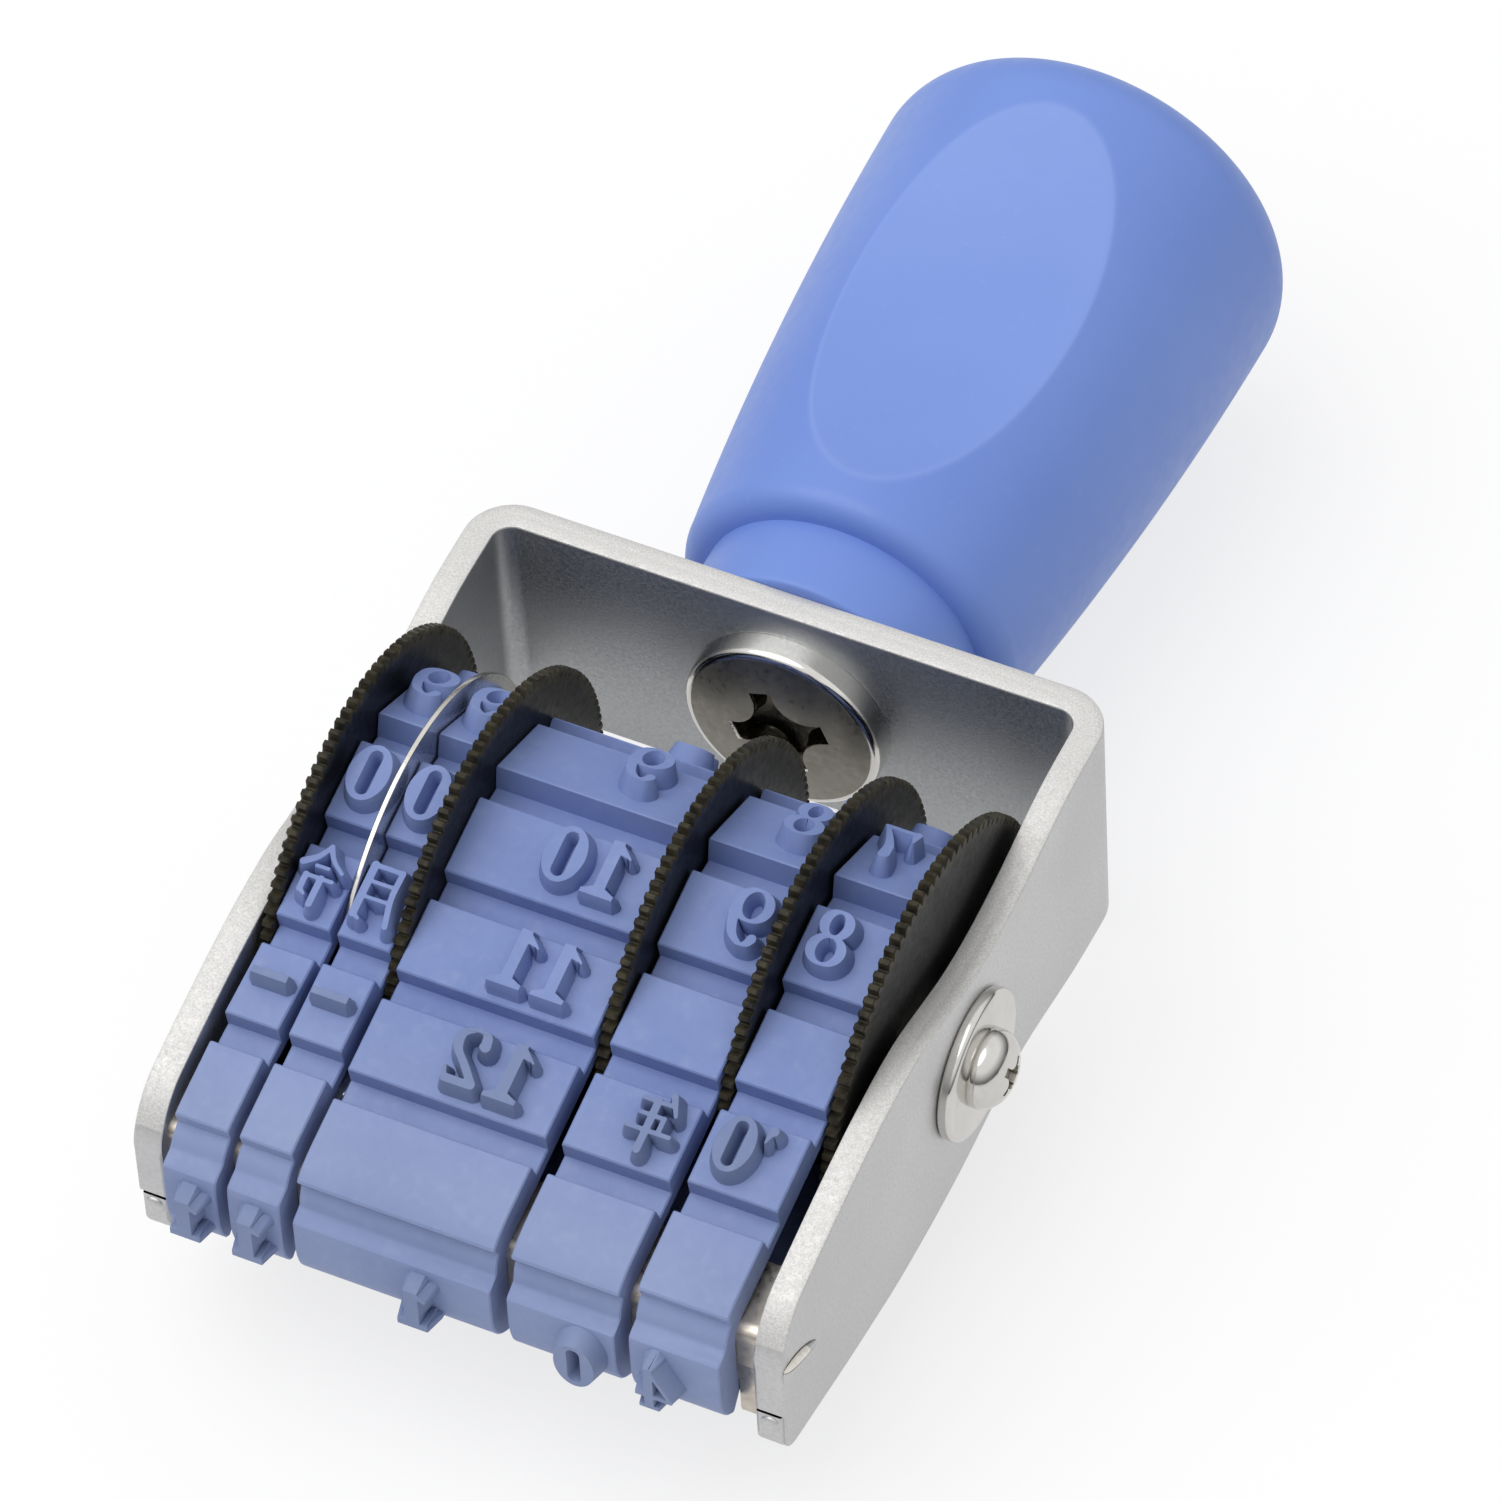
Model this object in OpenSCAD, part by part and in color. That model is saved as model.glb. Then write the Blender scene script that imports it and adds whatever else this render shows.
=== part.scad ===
// Hand date stamp lying on its back, as it rests on a table.
// Five rubber date bands run over setting wheels on one axle and over a bridge at the print face.
// X runs along the axle, Y from the print face to the handle, Z up out of the open front.

/* [Frame] */
// Thickness of the bent frame sheet
sheet_t = 1.6; // [1:0.1:2]
// Outer radius of the two bends between web and side plates
bend_r = 3; // [2.4:0.1:4]
// Depth of the web from front to back
web_depth = 16.2; // [14:0.2:20]
// Axle to the outer face of the web
axle_to_web = 21.2; // [20.6:0.1:26]
// Axle to the lower end of the side plates
axle_to_foot = 24.7; // [24.4:0.1:25.5]
// How far above the axle the side plates keep the full depth of the web
shoulder_rise = 14; // [11:0.2:17]
// Front edge of a side plate at its waist, from the axle line
waist_front = 6.2; // [5.6:0.1:7.5]
// Back edge of a side plate at its waist, from the axle line
waist_back = 7.1; // [6.2:0.1:8]
// Middle of the front waist above the axle
waist_front_rise = 3.2; // [2:0.2:7]
// Middle of the back waist above the axle
waist_back_rise = 5.6; // [2:0.2:7]
// Length of the straight run at a waist
waist_len = 4; // [2:0.2:6]
// Front edge of a side plate at its hip, from the axle line
hip_front = 7.6; // [6.8:0.1:8.5]
// Back edge of a side plate at its hip, from the axle line
hip_back = 8.5; // [7:0.1:9]
// How far the hip lies below the axle
hip_drop = 6.2; // [4:0.1:8]
// Front edge of a side plate at its knee, from the axle line
knee_front = 6.8; // [5.5:0.1:7.5]
// Back edge of a side plate at its knee, from the axle line
knee_back = 8; // [6.5:0.1:9]
// How far the knee lies below the axle
knee_drop = 14; // [11:0.1:17]
// Front edge of a side plate at its foot, from the axle line
foot_front = 4.6; // [3.2:0.1:6]
// Back edge of a side plate at its foot, from the axle line
foot_back = 6.7; // [4.5:0.1:7]
// Corner cut at the front of a side plate's foot
foot_cut_front = 2.4; // [0.4:0.1:3]
// Corner cut at the back of a side plate's foot
foot_cut_back = 1.6; // [0.4:0.1:2]

/* [Handle] */
// Length of the handle from the web to its domed end
handle_len = 43; // [38:0.2:52]
// Radius of the neck that stands on the web
neck_r = 8.75; // [7.5:0.05:9.5]
// Length of the neck
neck_len = 4.8; // [3:0.1:7]
// Radius of the grip where it starts above the neck
grip_start_r = 10.35; // [9.8:0.05:11]
// Largest radius of the grip
grip_r = 13; // [12.4:0.05:13.4]
// Height of the largest radius above the web
grip_top = 41; // [34:0.2:48]
// Radius of the rounding between grip and domed end
cap_corner = 3.8; // [2:0.1:6]
// Radius of the domed end
cap_dome = 40; // [25:1:80]
// Start of the thumb dish above the web
dish_from = 7.5; // [6.5:0.1:12]
// End of the thumb dish above the web
dish_to = 36.4; // [28:0.2:37]
// Sag of the thumb dish below a straight line between its ends
dish_sag = 1.75; // [0.6:0.05:2]
// Outer radius of the threaded insert in the handle
insert_r = 3.6; // [3.2:0.1:5]
// Length of the threaded insert
insert_len = 14; // [10:0.5:20]

/* [Handle screw] */
// Shank radius of the handle screw
handle_shank_r = 2.45; // [2:0.05:2.9]
// Shank length of the handle screw below its head
handle_shank_len = 13; // [9:0.5:15]
// Head radius of the handle screw
truss_r = 6.2; // [5:0.05:7]
// Height of the rounded rim of the screw head
truss_rim = 1.9; // [1.2:0.1:2.4]
// Crown of the screw head above its rim
truss_crown = 0.35; // [0.2:0.05:1]
// Turn of the cross recess in the screw head, in degrees
recess_turn = 17; // [0:1:45]

/* [Setting wheels] */
// Outer radius of a setting wheel over its teeth
wheel_r = 13.8; // [13.6:0.05:14.2]
// Thickness of a setting wheel disc
wheel_t = 0.7; // [0.5:0.05:1]
// Number of teeth on a setting wheel
wheel_teeth = 110; // [60:1:140]
// Depth of the teeth
tooth_depth = 0.4; // [0.2:0.05:0.6]
// Radius of the drum that carries a band
drum_r = 8.2; // [7.8:0.05:8.5]
// Number of drive grooves in a drum
drum_grooves = 8; // [4:1:16]
// Width and depth of a drive groove
groove_size = 1; // [0.5:0.1:1.6]
// Radius of the thin separator disc
separator_r = 12.2; // [11.9:0.05:12.6]
// Thickness of the separator disc
separator_t = 0.3; // [0.2:0.05:0.5]

/* [Bands] */
// Number of pads on each band
pad_count = 13; // [12:1:14]
// Thickness of a band over a pad
band_t = 2.2; // [1.8:0.05:2.4]
// Thickness of a band between its pads
base_t = 0.9; // [0.7:0.05:1.4]
// Length of a pad along its band
pad_len = 4.4; // [4:0.1:5]
// How far the pads of the day bands lie behind the middle of the print face
day_shift = 0.4; // [0:0.1:1.5]
// How far the pads of the month and year bands lie behind the middle of the print face
year_shift = 1.2; // [0:0.1:1.5]
// Height of the raised type above its pad
type_relief = 1.2; // [0.6:0.05:1.4]
// Height of a numeral
type_size = 4; // [3:0.1:4.2]
// Width of the band for the units of the day
day_units_w = 3.1; // [2.8:0.1:5]
// Width of the band for the tens of the day
day_tens_w = 3.1; // [2.8:0.1:5]
// Width of the month band
month_w = 12.1; // [9:0.1:16]
// Width of the band for the units of the year
year_units_w = 6.5; // [5:0.1:9]
// Width of the band for the tens of the year
year_tens_w = 5.5; // [4.5:0.1:9]

/* [Bridge] */
// Axle to the flat face of the bridge under the print pads
bridge_reach = 23.9; // [23.6:0.1:24.2]
// Half depth of the bridge from front to back
bridge_half = 2.5; // [2.3:0.1:3]
// Outer corner radius of the bridge
bridge_r = 0.8; // [0.5:0.05:1.2]
// Height of the bridge flanges
bridge_h = 5; // [4:0.1:5.2]
// Sheet thickness of the bridge
bridge_t = 0.7; // [0.5:0.05:1]
// Half width of the tongue that passes through a side plate
tongue_half = 1.1; // [1:0.1:1.3]
// How far a tongue lies behind the middle of the bridge
tongue_back = 3.2; // [2.8:0.1:3.2]
// How far the end of a tongue stays inside the outer face of a side plate
tongue_in = 0.3; // [0:0.05:0.6]
// Length of the slanted lance pressed out of a side plate
lance_len = 3.7; // [2.5:0.1:4.2]
// Width of the lance
lance_w = 0.7; // [0.4:0.1:1.2]
// Height of the lance above the plate
lance_h = 0.25; // [0.15:0.05:0.8]
// Slant of the lance from the plate's length, in degrees
lance_slant = 29; // [0:1:40]
// How far the lance lies below the axle
lance_drop = 22.4; // [21:0.1:22.6]
// How far the middle of the lance lies in front of the axle line
lance_front = 0.4; // [0:0.1:1]

/* [Axle] */
// Radius of the axle
axle_r = 2; // [1.8:0.05:2.4]
// Depth of the tapped hole in each axle end
tap_depth = 7; // [6:0.5:9]
// Shank radius of an axle screw
axle_shank_r = 1.25; // [1:0.05:1.4]
// How far an axle screw reaches into the axle
axle_bite = 5; // [3:0.5:5.5]
// Head radius of an axle screw
pan_r = 2.4; // [2.1:0.1:3.4]
// Head height of an axle screw
pan_h = 1.9; // [1.4:0.1:2.4]
// Radius of a washer under an axle screw
washer_r = 4.6; // [3.8:0.1:5.4]
// Thickness of a washer under an axle screw
washer_t = 0.9; // [0.5:0.1:1.2]
// Radius of the two rings between wheels and side plates
ring_r = 4.5; // [3.5:0.1:6]
// Thickness of the left ring
left_ring_t = 0.2; // [0.15:0.05:0.6]
// Thickness of the right ring
right_ring_t = 0.5; // [0.15:0.05:0.8]

/* [Clearances] */
// Radial running clearance of wheels on the axle
run_gap = 0.05; // [0.02:0.01:0.1]
// Gap between a band and the wheel discs beside it
band_gap = 0.15; // [0.1:0.05:0.3]
// Gap between a drum and the band around it
drum_gap = 0.15; // [0.1:0.05:0.2]
// Gap between the bridge and the bands around it
bridge_gap = 0.05; // [0.03:0.01:0.1]
// Gap between the separator disc and the bands beside it
separator_gap = 0.2; // [0.15:0.05:0.4]
// Gap between a wheel and the ring beside it
ring_gap = 0.2; // [0.15:0.05:0.4]
// Clearance around screws and tongues in their holes
fit_gap = 0.1; // [0.05:0.05:0.2]
// Clearance between threads and around the threaded insert
thread_gap = 0.03; // [0.02:0.01:0.05]

/* [Hidden] */
$fn = 96;
cut = 1;
tangent_in = 0.01;

// Stack along the axle, from the inner face of the left plate
inside_w = left_ring_t + right_ring_t + 2 * ring_gap + 5 * wheel_t + 8 * band_gap
  + 2 * separator_gap + separator_t
  + day_units_w + day_tens_w + month_w + year_units_w + year_tens_w;
frame_w = inside_w + 2 * sheet_t;
left_in = -inside_w / 2;
day_units_disc = left_in + left_ring_t + ring_gap;
day_units_x = day_units_disc + wheel_t + band_gap;
separator_x = day_units_x + day_units_w + separator_gap;
day_tens_x = separator_x + separator_t + separator_gap;
day_tens_disc = day_tens_x + day_tens_w + band_gap;
month_x = day_tens_disc + wheel_t + band_gap;
month_disc = month_x + month_w + band_gap;
year_units_x = month_disc + wheel_t + band_gap;
year_units_disc = year_units_x + year_units_w + band_gap;
year_tens_x = year_units_disc + wheel_t + band_gap;
year_tens_disc = year_tens_x + year_tens_w + band_gap;
hub_gap = band_gap / 2;
bore_r = axle_r + run_gap;

// Place of the axle in the resting frame
print_reach = bridge_reach + bridge_gap + band_t + type_relief;
handle_reach = axle_to_web + handle_len;
rest_y = (print_reach - handle_reach) / 2;
axle_h = wheel_r;

// Band loop around a drum and the two lower corners of the bridge
loop_r = drum_r + drum_gap;
turn_r = bridge_r + bridge_gap;
turn_y = bridge_reach - bridge_r;
turn_z = bridge_half - bridge_r;
turn_far = norm([turn_y, turn_z]);
run_slope = atan2(turn_y, turn_z) - acos((loop_r - turn_r) / turn_far);
run_len = sqrt(turn_far * turn_far - pow(loop_r - turn_r, 2));
mid_t = band_t / 3;
rad = PI / 180;
turn_len = (turn_r + mid_t) * (90 - run_slope) * rad;
wrap_len = (loop_r + mid_t) * (90 + run_slope) * rad;
half_loop = turn_z + turn_len + run_len + wrap_len;
pad_pitch = 2 * half_loop / pad_count;

// Handle grip: a long arc up to the largest radius, a rounded corner and a domed end
grip_rise = grip_r - grip_start_r;
grip_arc = (pow(grip_top - neck_len, 2) + pow(grip_rise, 2)) / (2 * grip_rise);
cap_mid = handle_len - cap_dome;
cap_ring = grip_r - cap_corner;
cap_from = cap_mid + sqrt(pow(cap_dome - cap_corner, 2) - cap_ring * cap_ring);
cap_reach = cap_ring * cap_dome / (cap_dome - cap_corner);
dish_start = [dish_from, grip_at(dish_from)];
dish_end = [dish_to, grip_at(dish_to)];
dish_chord = dish_end - dish_start;
dish_len = norm(dish_chord);
dish_arc = (dish_len * dish_len / 4 + dish_sag * dish_sag) / (2 * dish_sag);
dish_out = [-dish_chord[1], dish_chord[0]] / dish_len;
dish_centre = (dish_start + dish_end) / 2 + dish_out * (dish_arc - dish_sag);

// Head recess of the cross-slotted screws, as shares of the head radius
slot_wide = 0.22;
slot_long = 1;
slot_deep = 1.1;

// Strokes of the type, as shares of its height
stroke = 0.17;
thin = 0.11;
numeral_w = 0.62;

sheet_colour = [0.74, 0.74, 0.74];
handle_colour = [0.42, 0.54, 0.85];
rubber_colour = [0.5, 0.58, 0.78];
wheel_colour = [0.13, 0.12, 0.11];
nickel_colour = [0.72, 0.69, 0.64];

// Radius of the grip at height h above the web
function grip_at(h) = grip_r - grip_arc + sqrt(grip_arc * grip_arc - pow(grip_top - h, 2));

// Direction and place of the band's middle line, from the print face up the front
function front_angle(s) =
  s < turn_z ? 90
  : s < turn_z + turn_len ? 90 - (s - turn_z) / (turn_r + mid_t) / rad
  : s < turn_z + turn_len + run_len ? run_slope
  : run_slope - (s - turn_z - turn_len - run_len) / (loop_r + mid_t) / rad;
function outward(a) = [-sin(a), cos(a)];
function front_point(s) =
  let(a = front_angle(s))
  s < turn_z ? [-turn_y - turn_r - mid_t, s]
  : s < turn_z + turn_len ? [-turn_y, turn_z] + (turn_r + mid_t) * outward(a)
  : s < turn_z + turn_len + run_len
    ? [-turn_y, turn_z] + (turn_r + mid_t) * outward(a)
      + (s - turn_z - turn_len) * [cos(a), sin(a)]
  : (loop_r + mid_t) * outward(a);
function band_angle(s) = s <= half_loop ? front_angle(s) : 180 - front_angle(2 * half_loop - s);
function band_point(s) =
  let(p = front_point(s <= half_loop ? s : 2 * half_loop - s))
  s <= half_loop ? p : [p[0], -p[1]];

// Place of pad number k along the loop, counted from the print face up the front
function pad_at(k, back) = let(s = k * pad_pitch - back) s < 0 ? s + 2 * half_loop : s;

// Moves a piece from axle coordinates to where it rests
module rest() {
  translate([0, rest_y, axle_h]) children();
}

// Carries an outline drawn in Y and Z along X
module across(x, w) {
  translate([x, 0, 0]) rotate([90, 0, 90]) linear_extrude(w) children();
}

// Turns a profile drawn as radius and height about an axis along X or Y
module turned_x(x, way = 1) {
  translate([x, 0, 0]) rotate([0, 90 * way, 0]) rotate_extrude() children();
}
module turned_y(y, way = 1) {
  translate([0, y, 0]) rotate([-90 * way, 0, 0]) rotate_extrude() children();
}

module rod_x(x, w, r) {
  translate([x, 0, 0]) rotate([0, 90, 0]) cylinder(h = w, r = r);
}

module mid_square(w, h) {
  translate([-w / 2, -h / 2]) square([w, h]);
}

// Frame: bent U of sheet with shaped side plates
module bend_outline(half, top, r) {
  translate([-half, -axle_to_foot - cut]) square([2 * half, top + axle_to_foot + cut - r]);
  translate([-half + r, top - r - cut]) square([2 * (half - r), r + cut]);
  for (side = [-1, 1]) translate([side * (half - r), top - r]) circle(r);
}

module plate_outline() {
  polygon([
    [axle_to_web, web_depth / 2],
    [shoulder_rise, web_depth / 2],
    [waist_front_rise + waist_len / 2, waist_front],
    [waist_front_rise - waist_len / 2, waist_front],
    [-hip_drop, hip_front],
    [-knee_drop, knee_front],
    [-axle_to_foot + foot_cut_front, foot_front],
    [-axle_to_foot, foot_front - foot_cut_front],
    [-axle_to_foot, -foot_back + foot_cut_back],
    [-axle_to_foot + foot_cut_back, -foot_back],
    [-knee_drop, -knee_back],
    [-hip_drop, -hip_back],
    [waist_back_rise - waist_len / 2, -waist_back],
    [waist_back_rise + waist_len / 2, -waist_back],
    [shoulder_rise, -web_depth / 2],
    [axle_to_web, -web_depth / 2]
  ]);
}

module frame() {
  notch_top = -bridge_reach + bridge_t + fit_gap;
  notch_half = tongue_half + fit_gap;
  color(sheet_colour) rest() difference() {
    union() {
      intersection() {
        translate([0, 0, -web_depth / 2 - cut]) linear_extrude(web_depth + 2 * cut) difference() {
          bend_outline(frame_w / 2, axle_to_web, bend_r);
          bend_outline(inside_w / 2, axle_to_web - sheet_t, bend_r - sheet_t);
        }
        across(-frame_w / 2, frame_w) plate_outline();
      }
      lance(frame_w / 2 - sheet_t / 2);
      mirror([1, 0, 0]) lance(frame_w / 2 - sheet_t / 2);
    }
    translate([0, axle_to_web - sheet_t - cut, 0]) rotate([-90, 0, 0])
      cylinder(h = sheet_t + 2 * cut, r = handle_shank_r + fit_gap);
    rod_x(-frame_w / 2 - cut, frame_w + 2 * cut, axle_shank_r + fit_gap);
    for (x = [-frame_w / 2, inside_w / 2])
      translate([x - cut, -axle_to_foot - cut, -tongue_back - notch_half])
        cube([sheet_t + 2 * cut, notch_top + axle_to_foot + cut, 2 * notch_half]);
  }
}

// Slanted rib pressed out of a side plate, above the end of the bridge
module lance(x) {
  across(x, sheet_t / 2 + lance_h) translate([-lance_drop, lance_front]) rotate(-lance_slant)
    mid_square(lance_len, lance_w);
}

// Bridge: channel under the print pads, with a tongue through each side plate
module channel_outline(inset) {
  half = bridge_half - inset;
  r = max(bridge_r - inset, 0.1);
  bottom = -bridge_reach + inset;
  translate([bottom + r, -half]) square([bridge_h + inset - r, 2 * half]);
  translate([bottom, -half + r]) square([r + cut, 2 * (half - r)]);
  for (side = [-1, 1]) translate([bottom + r, side * (half - r)]) circle(r);
}

module bridge() {
  root = ring_gap + wheel_t;
  tongue_len = root + sheet_t - tongue_in;
  color(nickel_colour) rest() {
    across(left_in, inside_w) intersection() {
      difference() {
        channel_outline(0);
        channel_outline(bridge_t);
      }
      translate([-bridge_reach, -bridge_half]) square([bridge_h, 2 * bridge_half]);
    }
    for (x = [left_in + root - tongue_len, -left_in - root])
      translate([x, -bridge_reach, -tongue_back - tongue_half])
        cube([tongue_len, bridge_t, 2 * tongue_half]);
  }
}

// Handle and its screw
module grip_outline() {
  square([neck_r, neck_len + cut]);
  intersection() {
    translate([grip_r - grip_arc, grip_top]) circle(grip_arc, $fn = 360);
    translate([0, neck_len]) square([grip_r, cap_from - neck_len]);
  }
  translate([grip_at(cap_from) - cap_corner - tangent_in, cap_from + tangent_in]) circle(cap_corner);
  intersection() {
    translate([0, cap_mid]) circle(cap_dome, $fn = 360);
    translate([0, cap_from - cut]) square([cap_reach, handle_len]);
  }
}

module handle() {
  pocket = insert_len + cut;
  color(handle_colour) rest() difference() {
    turned_y(axle_to_web) grip_outline();
    translate([-grip_r, axle_to_web + dish_centre[0], dish_centre[1]]) rotate([0, 90, 0])
      cylinder(h = 2 * grip_r, r = dish_arc, $fn = 360);
    translate([0, axle_to_web - cut, 0]) rotate([-90, 0, 0])
      cylinder(h = pocket + cut, r = insert_r + thread_gap);
  }
}

module handle_insert() {
  color("goldenrod") rest() translate([0, axle_to_web, 0]) rotate([-90, 0, 0]) difference() {
    cylinder(h = insert_len, r = insert_r);
    translate([0, 0, -cut]) cylinder(h = insert_len + 2 * cut, r = handle_shank_r + thread_gap);
  }
}

// Cross recess, cut from a head's outer face down
module cross_recess(head_r) {
  for (turn = [0, 90]) rotate(turn)
    translate([-head_r * slot_long / 2, -head_r * slot_wide / 2, 0])
      cube([head_r * slot_long, head_r * slot_wide, 2 * slot_deep]);
}

// Crowned screw head profile: radius and height above its seat
module head_outline(r, rim, crown) {
  ball = (r * r + crown * crown) / (2 * crown);
  intersection() {
    square([r, rim + crown]);
    translate([0, rim + crown - ball]) circle(ball, $fn = 360);
  }
}

// The same with its rim rounded off towards the seat and the face
module round_head_outline(r, rim, crown) {
  ring = r - rim / 2;
  head_outline(ring, rim - tangent_in, crown);
  translate([ring, rim / 2]) intersection() {
    circle(rim / 2);
    translate([-cut, -rim]) square([rim + cut, 2 * rim]);
  }
}

module handle_screw() {
  seat = axle_to_web - sheet_t;
  color(nickel_colour) rest() {
    difference() {
      turned_y(seat, -1) round_head_outline(truss_r, truss_rim, truss_crown);
      translate([0, seat - truss_rim - truss_crown + slot_deep, 0]) rotate([90, 0, 0])
        rotate(recess_turn) cross_recess(truss_r);
    }
    translate([0, seat - truss_rim / 2, 0]) rotate([-90, 0, 0])
      cylinder(h = handle_shank_len + truss_rim / 2, r = handle_shank_r);
  }
}

// Axle, its screws, washers and rings
module axle() {
  color(nickel_colour) rest() difference() {
    rod_x(left_in, inside_w, axle_r);
    rod_x(left_in - cut, tap_depth + cut, axle_shank_r + thread_gap);
    rod_x(-left_in - tap_depth, tap_depth + cut, axle_shank_r + thread_gap);
  }
}

// One axle screw, drawn for the right-hand plate
module axle_screw() {
  seat = frame_w / 2 + washer_t;
  pan_rim = pan_h * 0.5;
  difference() {
    turned_x(seat) head_outline(pan_r, pan_rim, pan_h - pan_rim);
    translate([seat + pan_h - slot_deep, 0, 0]) rotate([0, 90, 0]) cross_recess(pan_r);
  }
  rod_x(inside_w / 2 - axle_bite, axle_bite + sheet_t + washer_t + pan_rim / 2, axle_shank_r);
}

module axle_screw_left() {
  color(nickel_colour) rest() mirror([1, 0, 0]) axle_screw();
}

module axle_screw_right() {
  color(nickel_colour) rest() axle_screw();
}

// Flat ring around the axle line
module flat_ring(x, t, r, hole) {
  across(x, t) difference() {
    circle(r);
    circle(hole);
  }
}

module washer_left() {
  color(nickel_colour) rest()
    flat_ring(-frame_w / 2 - washer_t, washer_t, washer_r, axle_shank_r + fit_gap);
}

module washer_right() {
  color(nickel_colour) rest()
    flat_ring(frame_w / 2, washer_t, washer_r, axle_shank_r + fit_gap);
}

module ring_left() {
  color(nickel_colour) rest() flat_ring(left_in, left_ring_t, ring_r, bore_r);
}

module ring_right() {
  color(nickel_colour) rest()
    flat_ring(-left_in - right_ring_t, right_ring_t, ring_r, bore_r);
}

module separator_disc() {
  color(nickel_colour) rest() flat_ring(separator_x, separator_t, separator_r, bore_r);
}

// Setting wheels: a toothed disc and a drum on one side of it
module toothed_outline() {
  step = 360 / wheel_teeth;
  polygon([
    for (i = [0 : wheel_teeth - 1], half = [0, 1])
      let(r = wheel_r - half * tooth_depth, a = (i + half / 2) * step)
      r * [cos(a), sin(a)]
  ]);
}

module drum_outline() {
  difference() {
    circle(drum_r);
    for (i = [0 : drum_grooves - 1]) rotate(i * 360 / drum_grooves)
      translate([drum_r, 0]) mid_square(2 * groove_size, groove_size);
  }
}

module wheel(disc_x, drum_x, drum_w) {
  color(wheel_colour) rest() difference() {
    union() {
      across(disc_x, wheel_t) toothed_outline();
      across(drum_x, drum_w) drum_outline();
    }
    rod_x(left_in, inside_w, bore_r);
  }
}

module day_units_wheel() {
  drum_x = day_units_disc + wheel_t / 2;
  wheel(day_units_disc, drum_x, separator_x - hub_gap - drum_x);
}

// Wheels whose drum reaches left from the disc to the neighbour at from_x
module left_drum_wheel(disc_x, from_x) {
  wheel(disc_x, from_x + hub_gap, disc_x + wheel_t / 2 - from_x - hub_gap);
}

module day_tens_wheel() {
  left_drum_wheel(day_tens_disc, separator_x + separator_t);
}

module month_wheel() {
  left_drum_wheel(month_disc, day_tens_disc + wheel_t);
}

module year_units_wheel() {
  left_drum_wheel(year_units_disc, month_disc + wheel_t);
}

module year_tens_wheel() {
  left_drum_wheel(year_tens_disc, year_units_disc + wheel_t);
}

// Band loop outline, grown outward by d from the inner face of the band
// The straight runs lie a hair inside the tangent, so that they cross the arcs cleanly
module loop_outline(d) {
  n = outward(run_slope);
  up = (loop_r + d - tangent_in) * n;
  low = [-turn_y, turn_z] + (turn_r + d - tangent_in) * n;
  base_y = -turn_y - turn_r - d + tangent_in;
  circle(loop_r + d);
  for (side = [-1, 1]) translate([-turn_y, side * turn_z]) circle(turn_r + d);
  polygon([
    up, low, [-turn_y, turn_z], [base_y, turn_z],
    [base_y, -turn_z], [-turn_y, -turn_z], [low[0], -low[1]], [up[0], -up[1]]
  ]);
}

// Whole thickness of the band, grooved between its pads
module band_outline(back) {
  groove_len = pad_pitch - pad_len;
  difference() {
    loop_outline(band_t);
    loop_outline(0);
    for (k = [0 : pad_count - 1]) translate(band_point(pad_at(k + 0.5, back)))
      rotate(band_angle(pad_at(k + 0.5, back)))
        translate([-groove_len / 2, base_t - mid_t]) square([groove_len, band_t]);
  }
}

// Type, one unit high and centred
module bar(x, y, w, h) {
  translate([x - w / 2, y - h / 2]) square([w, h]);
}

module stadium(w, h) {
  mid_square(w, h - w);
  for (end = [-1, 1]) translate([0, end * (h - w) / 2]) circle(w / 2, $fn = 32);
}

module oval_ring(w, h) {
  difference() {
    stadium(w, h);
    stadium(w - 2 * stroke, h - 2 * thin);
  }
}

module bowl(r) {
  difference() {
    circle(r, $fn = 32);
    circle(r - thin, $fn = 32);
  }
}

module slant(a, b, w) {
  along = (b - a) / norm(b - a);
  wide = [-along[1], along[0]] * w / 2;
  polygon([a + wide, b + wide, b - wide, a - wide]);
}

module six() {
  r = numeral_w / 2;
  translate([0, r - 0.5]) bowl(r);
  slant([-r + stroke / 2, r - 0.5], [r * 0.4, 0.5], stroke);
}

module numeral(n) {
  r = numeral_w / 2;
  if (n == 0) oval_ring(numeral_w, 1);
  if (n == 1) {
    bar(0, 0, stroke, 1);
    bar(0, -0.5 + thin / 2, 3 * stroke, thin);
    slant([0, 0.5 - thin / 2], [-1.5 * stroke, 0.3], thin);
  }
  if (n == 2) {
    difference() {
      translate([0, 0.5 - r]) bowl(r);
      bar(-r, 0.5 - 1.5 * r, 2 * r, r);
    }
    slant([r - thin, 0.2], [-r + thin, -0.5 + thin], stroke);
    bar(0, -0.5 + thin / 2, numeral_w, thin);
  }
  if (n == 3) for (side = [-1, 1]) difference() {
    translate([0, side * (0.5 - r * 0.87)]) bowl(r * 0.87);
    bar(-r, side * 0.08, 1.6 * r, 0.26);
  }
  if (n == 4) {
    bar(r * 0.3, 0, stroke, 1);
    bar(0, -0.2, numeral_w, thin);
    slant([-r + thin / 2, -0.2], [r * 0.3, 0.5 - thin / 2], thin);
  }
  if (n == 5) {
    bar(0.02, 0.5 - thin / 2, numeral_w * 0.8, thin);
    bar(-r * 0.7, 0.26, thin, 0.48);
    difference() {
      translate([0, r - 0.5]) bowl(r);
      bar(-r, r - 0.42, 1.4 * r, 0.4);
    }
  }
  if (n == 6) six();
  if (n == 7) {
    bar(0, 0.5 - stroke / 2, numeral_w, stroke);
    slant([r - thin, 0.45], [-r * 0.3, -0.5], stroke);
  }
  if (n == 8) for (side = [-1, 1]) translate([0, side * (0.5 - r * 0.87)]) bowl(r * 0.87);
  if (n == 9) rotate(180) six();
}

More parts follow.
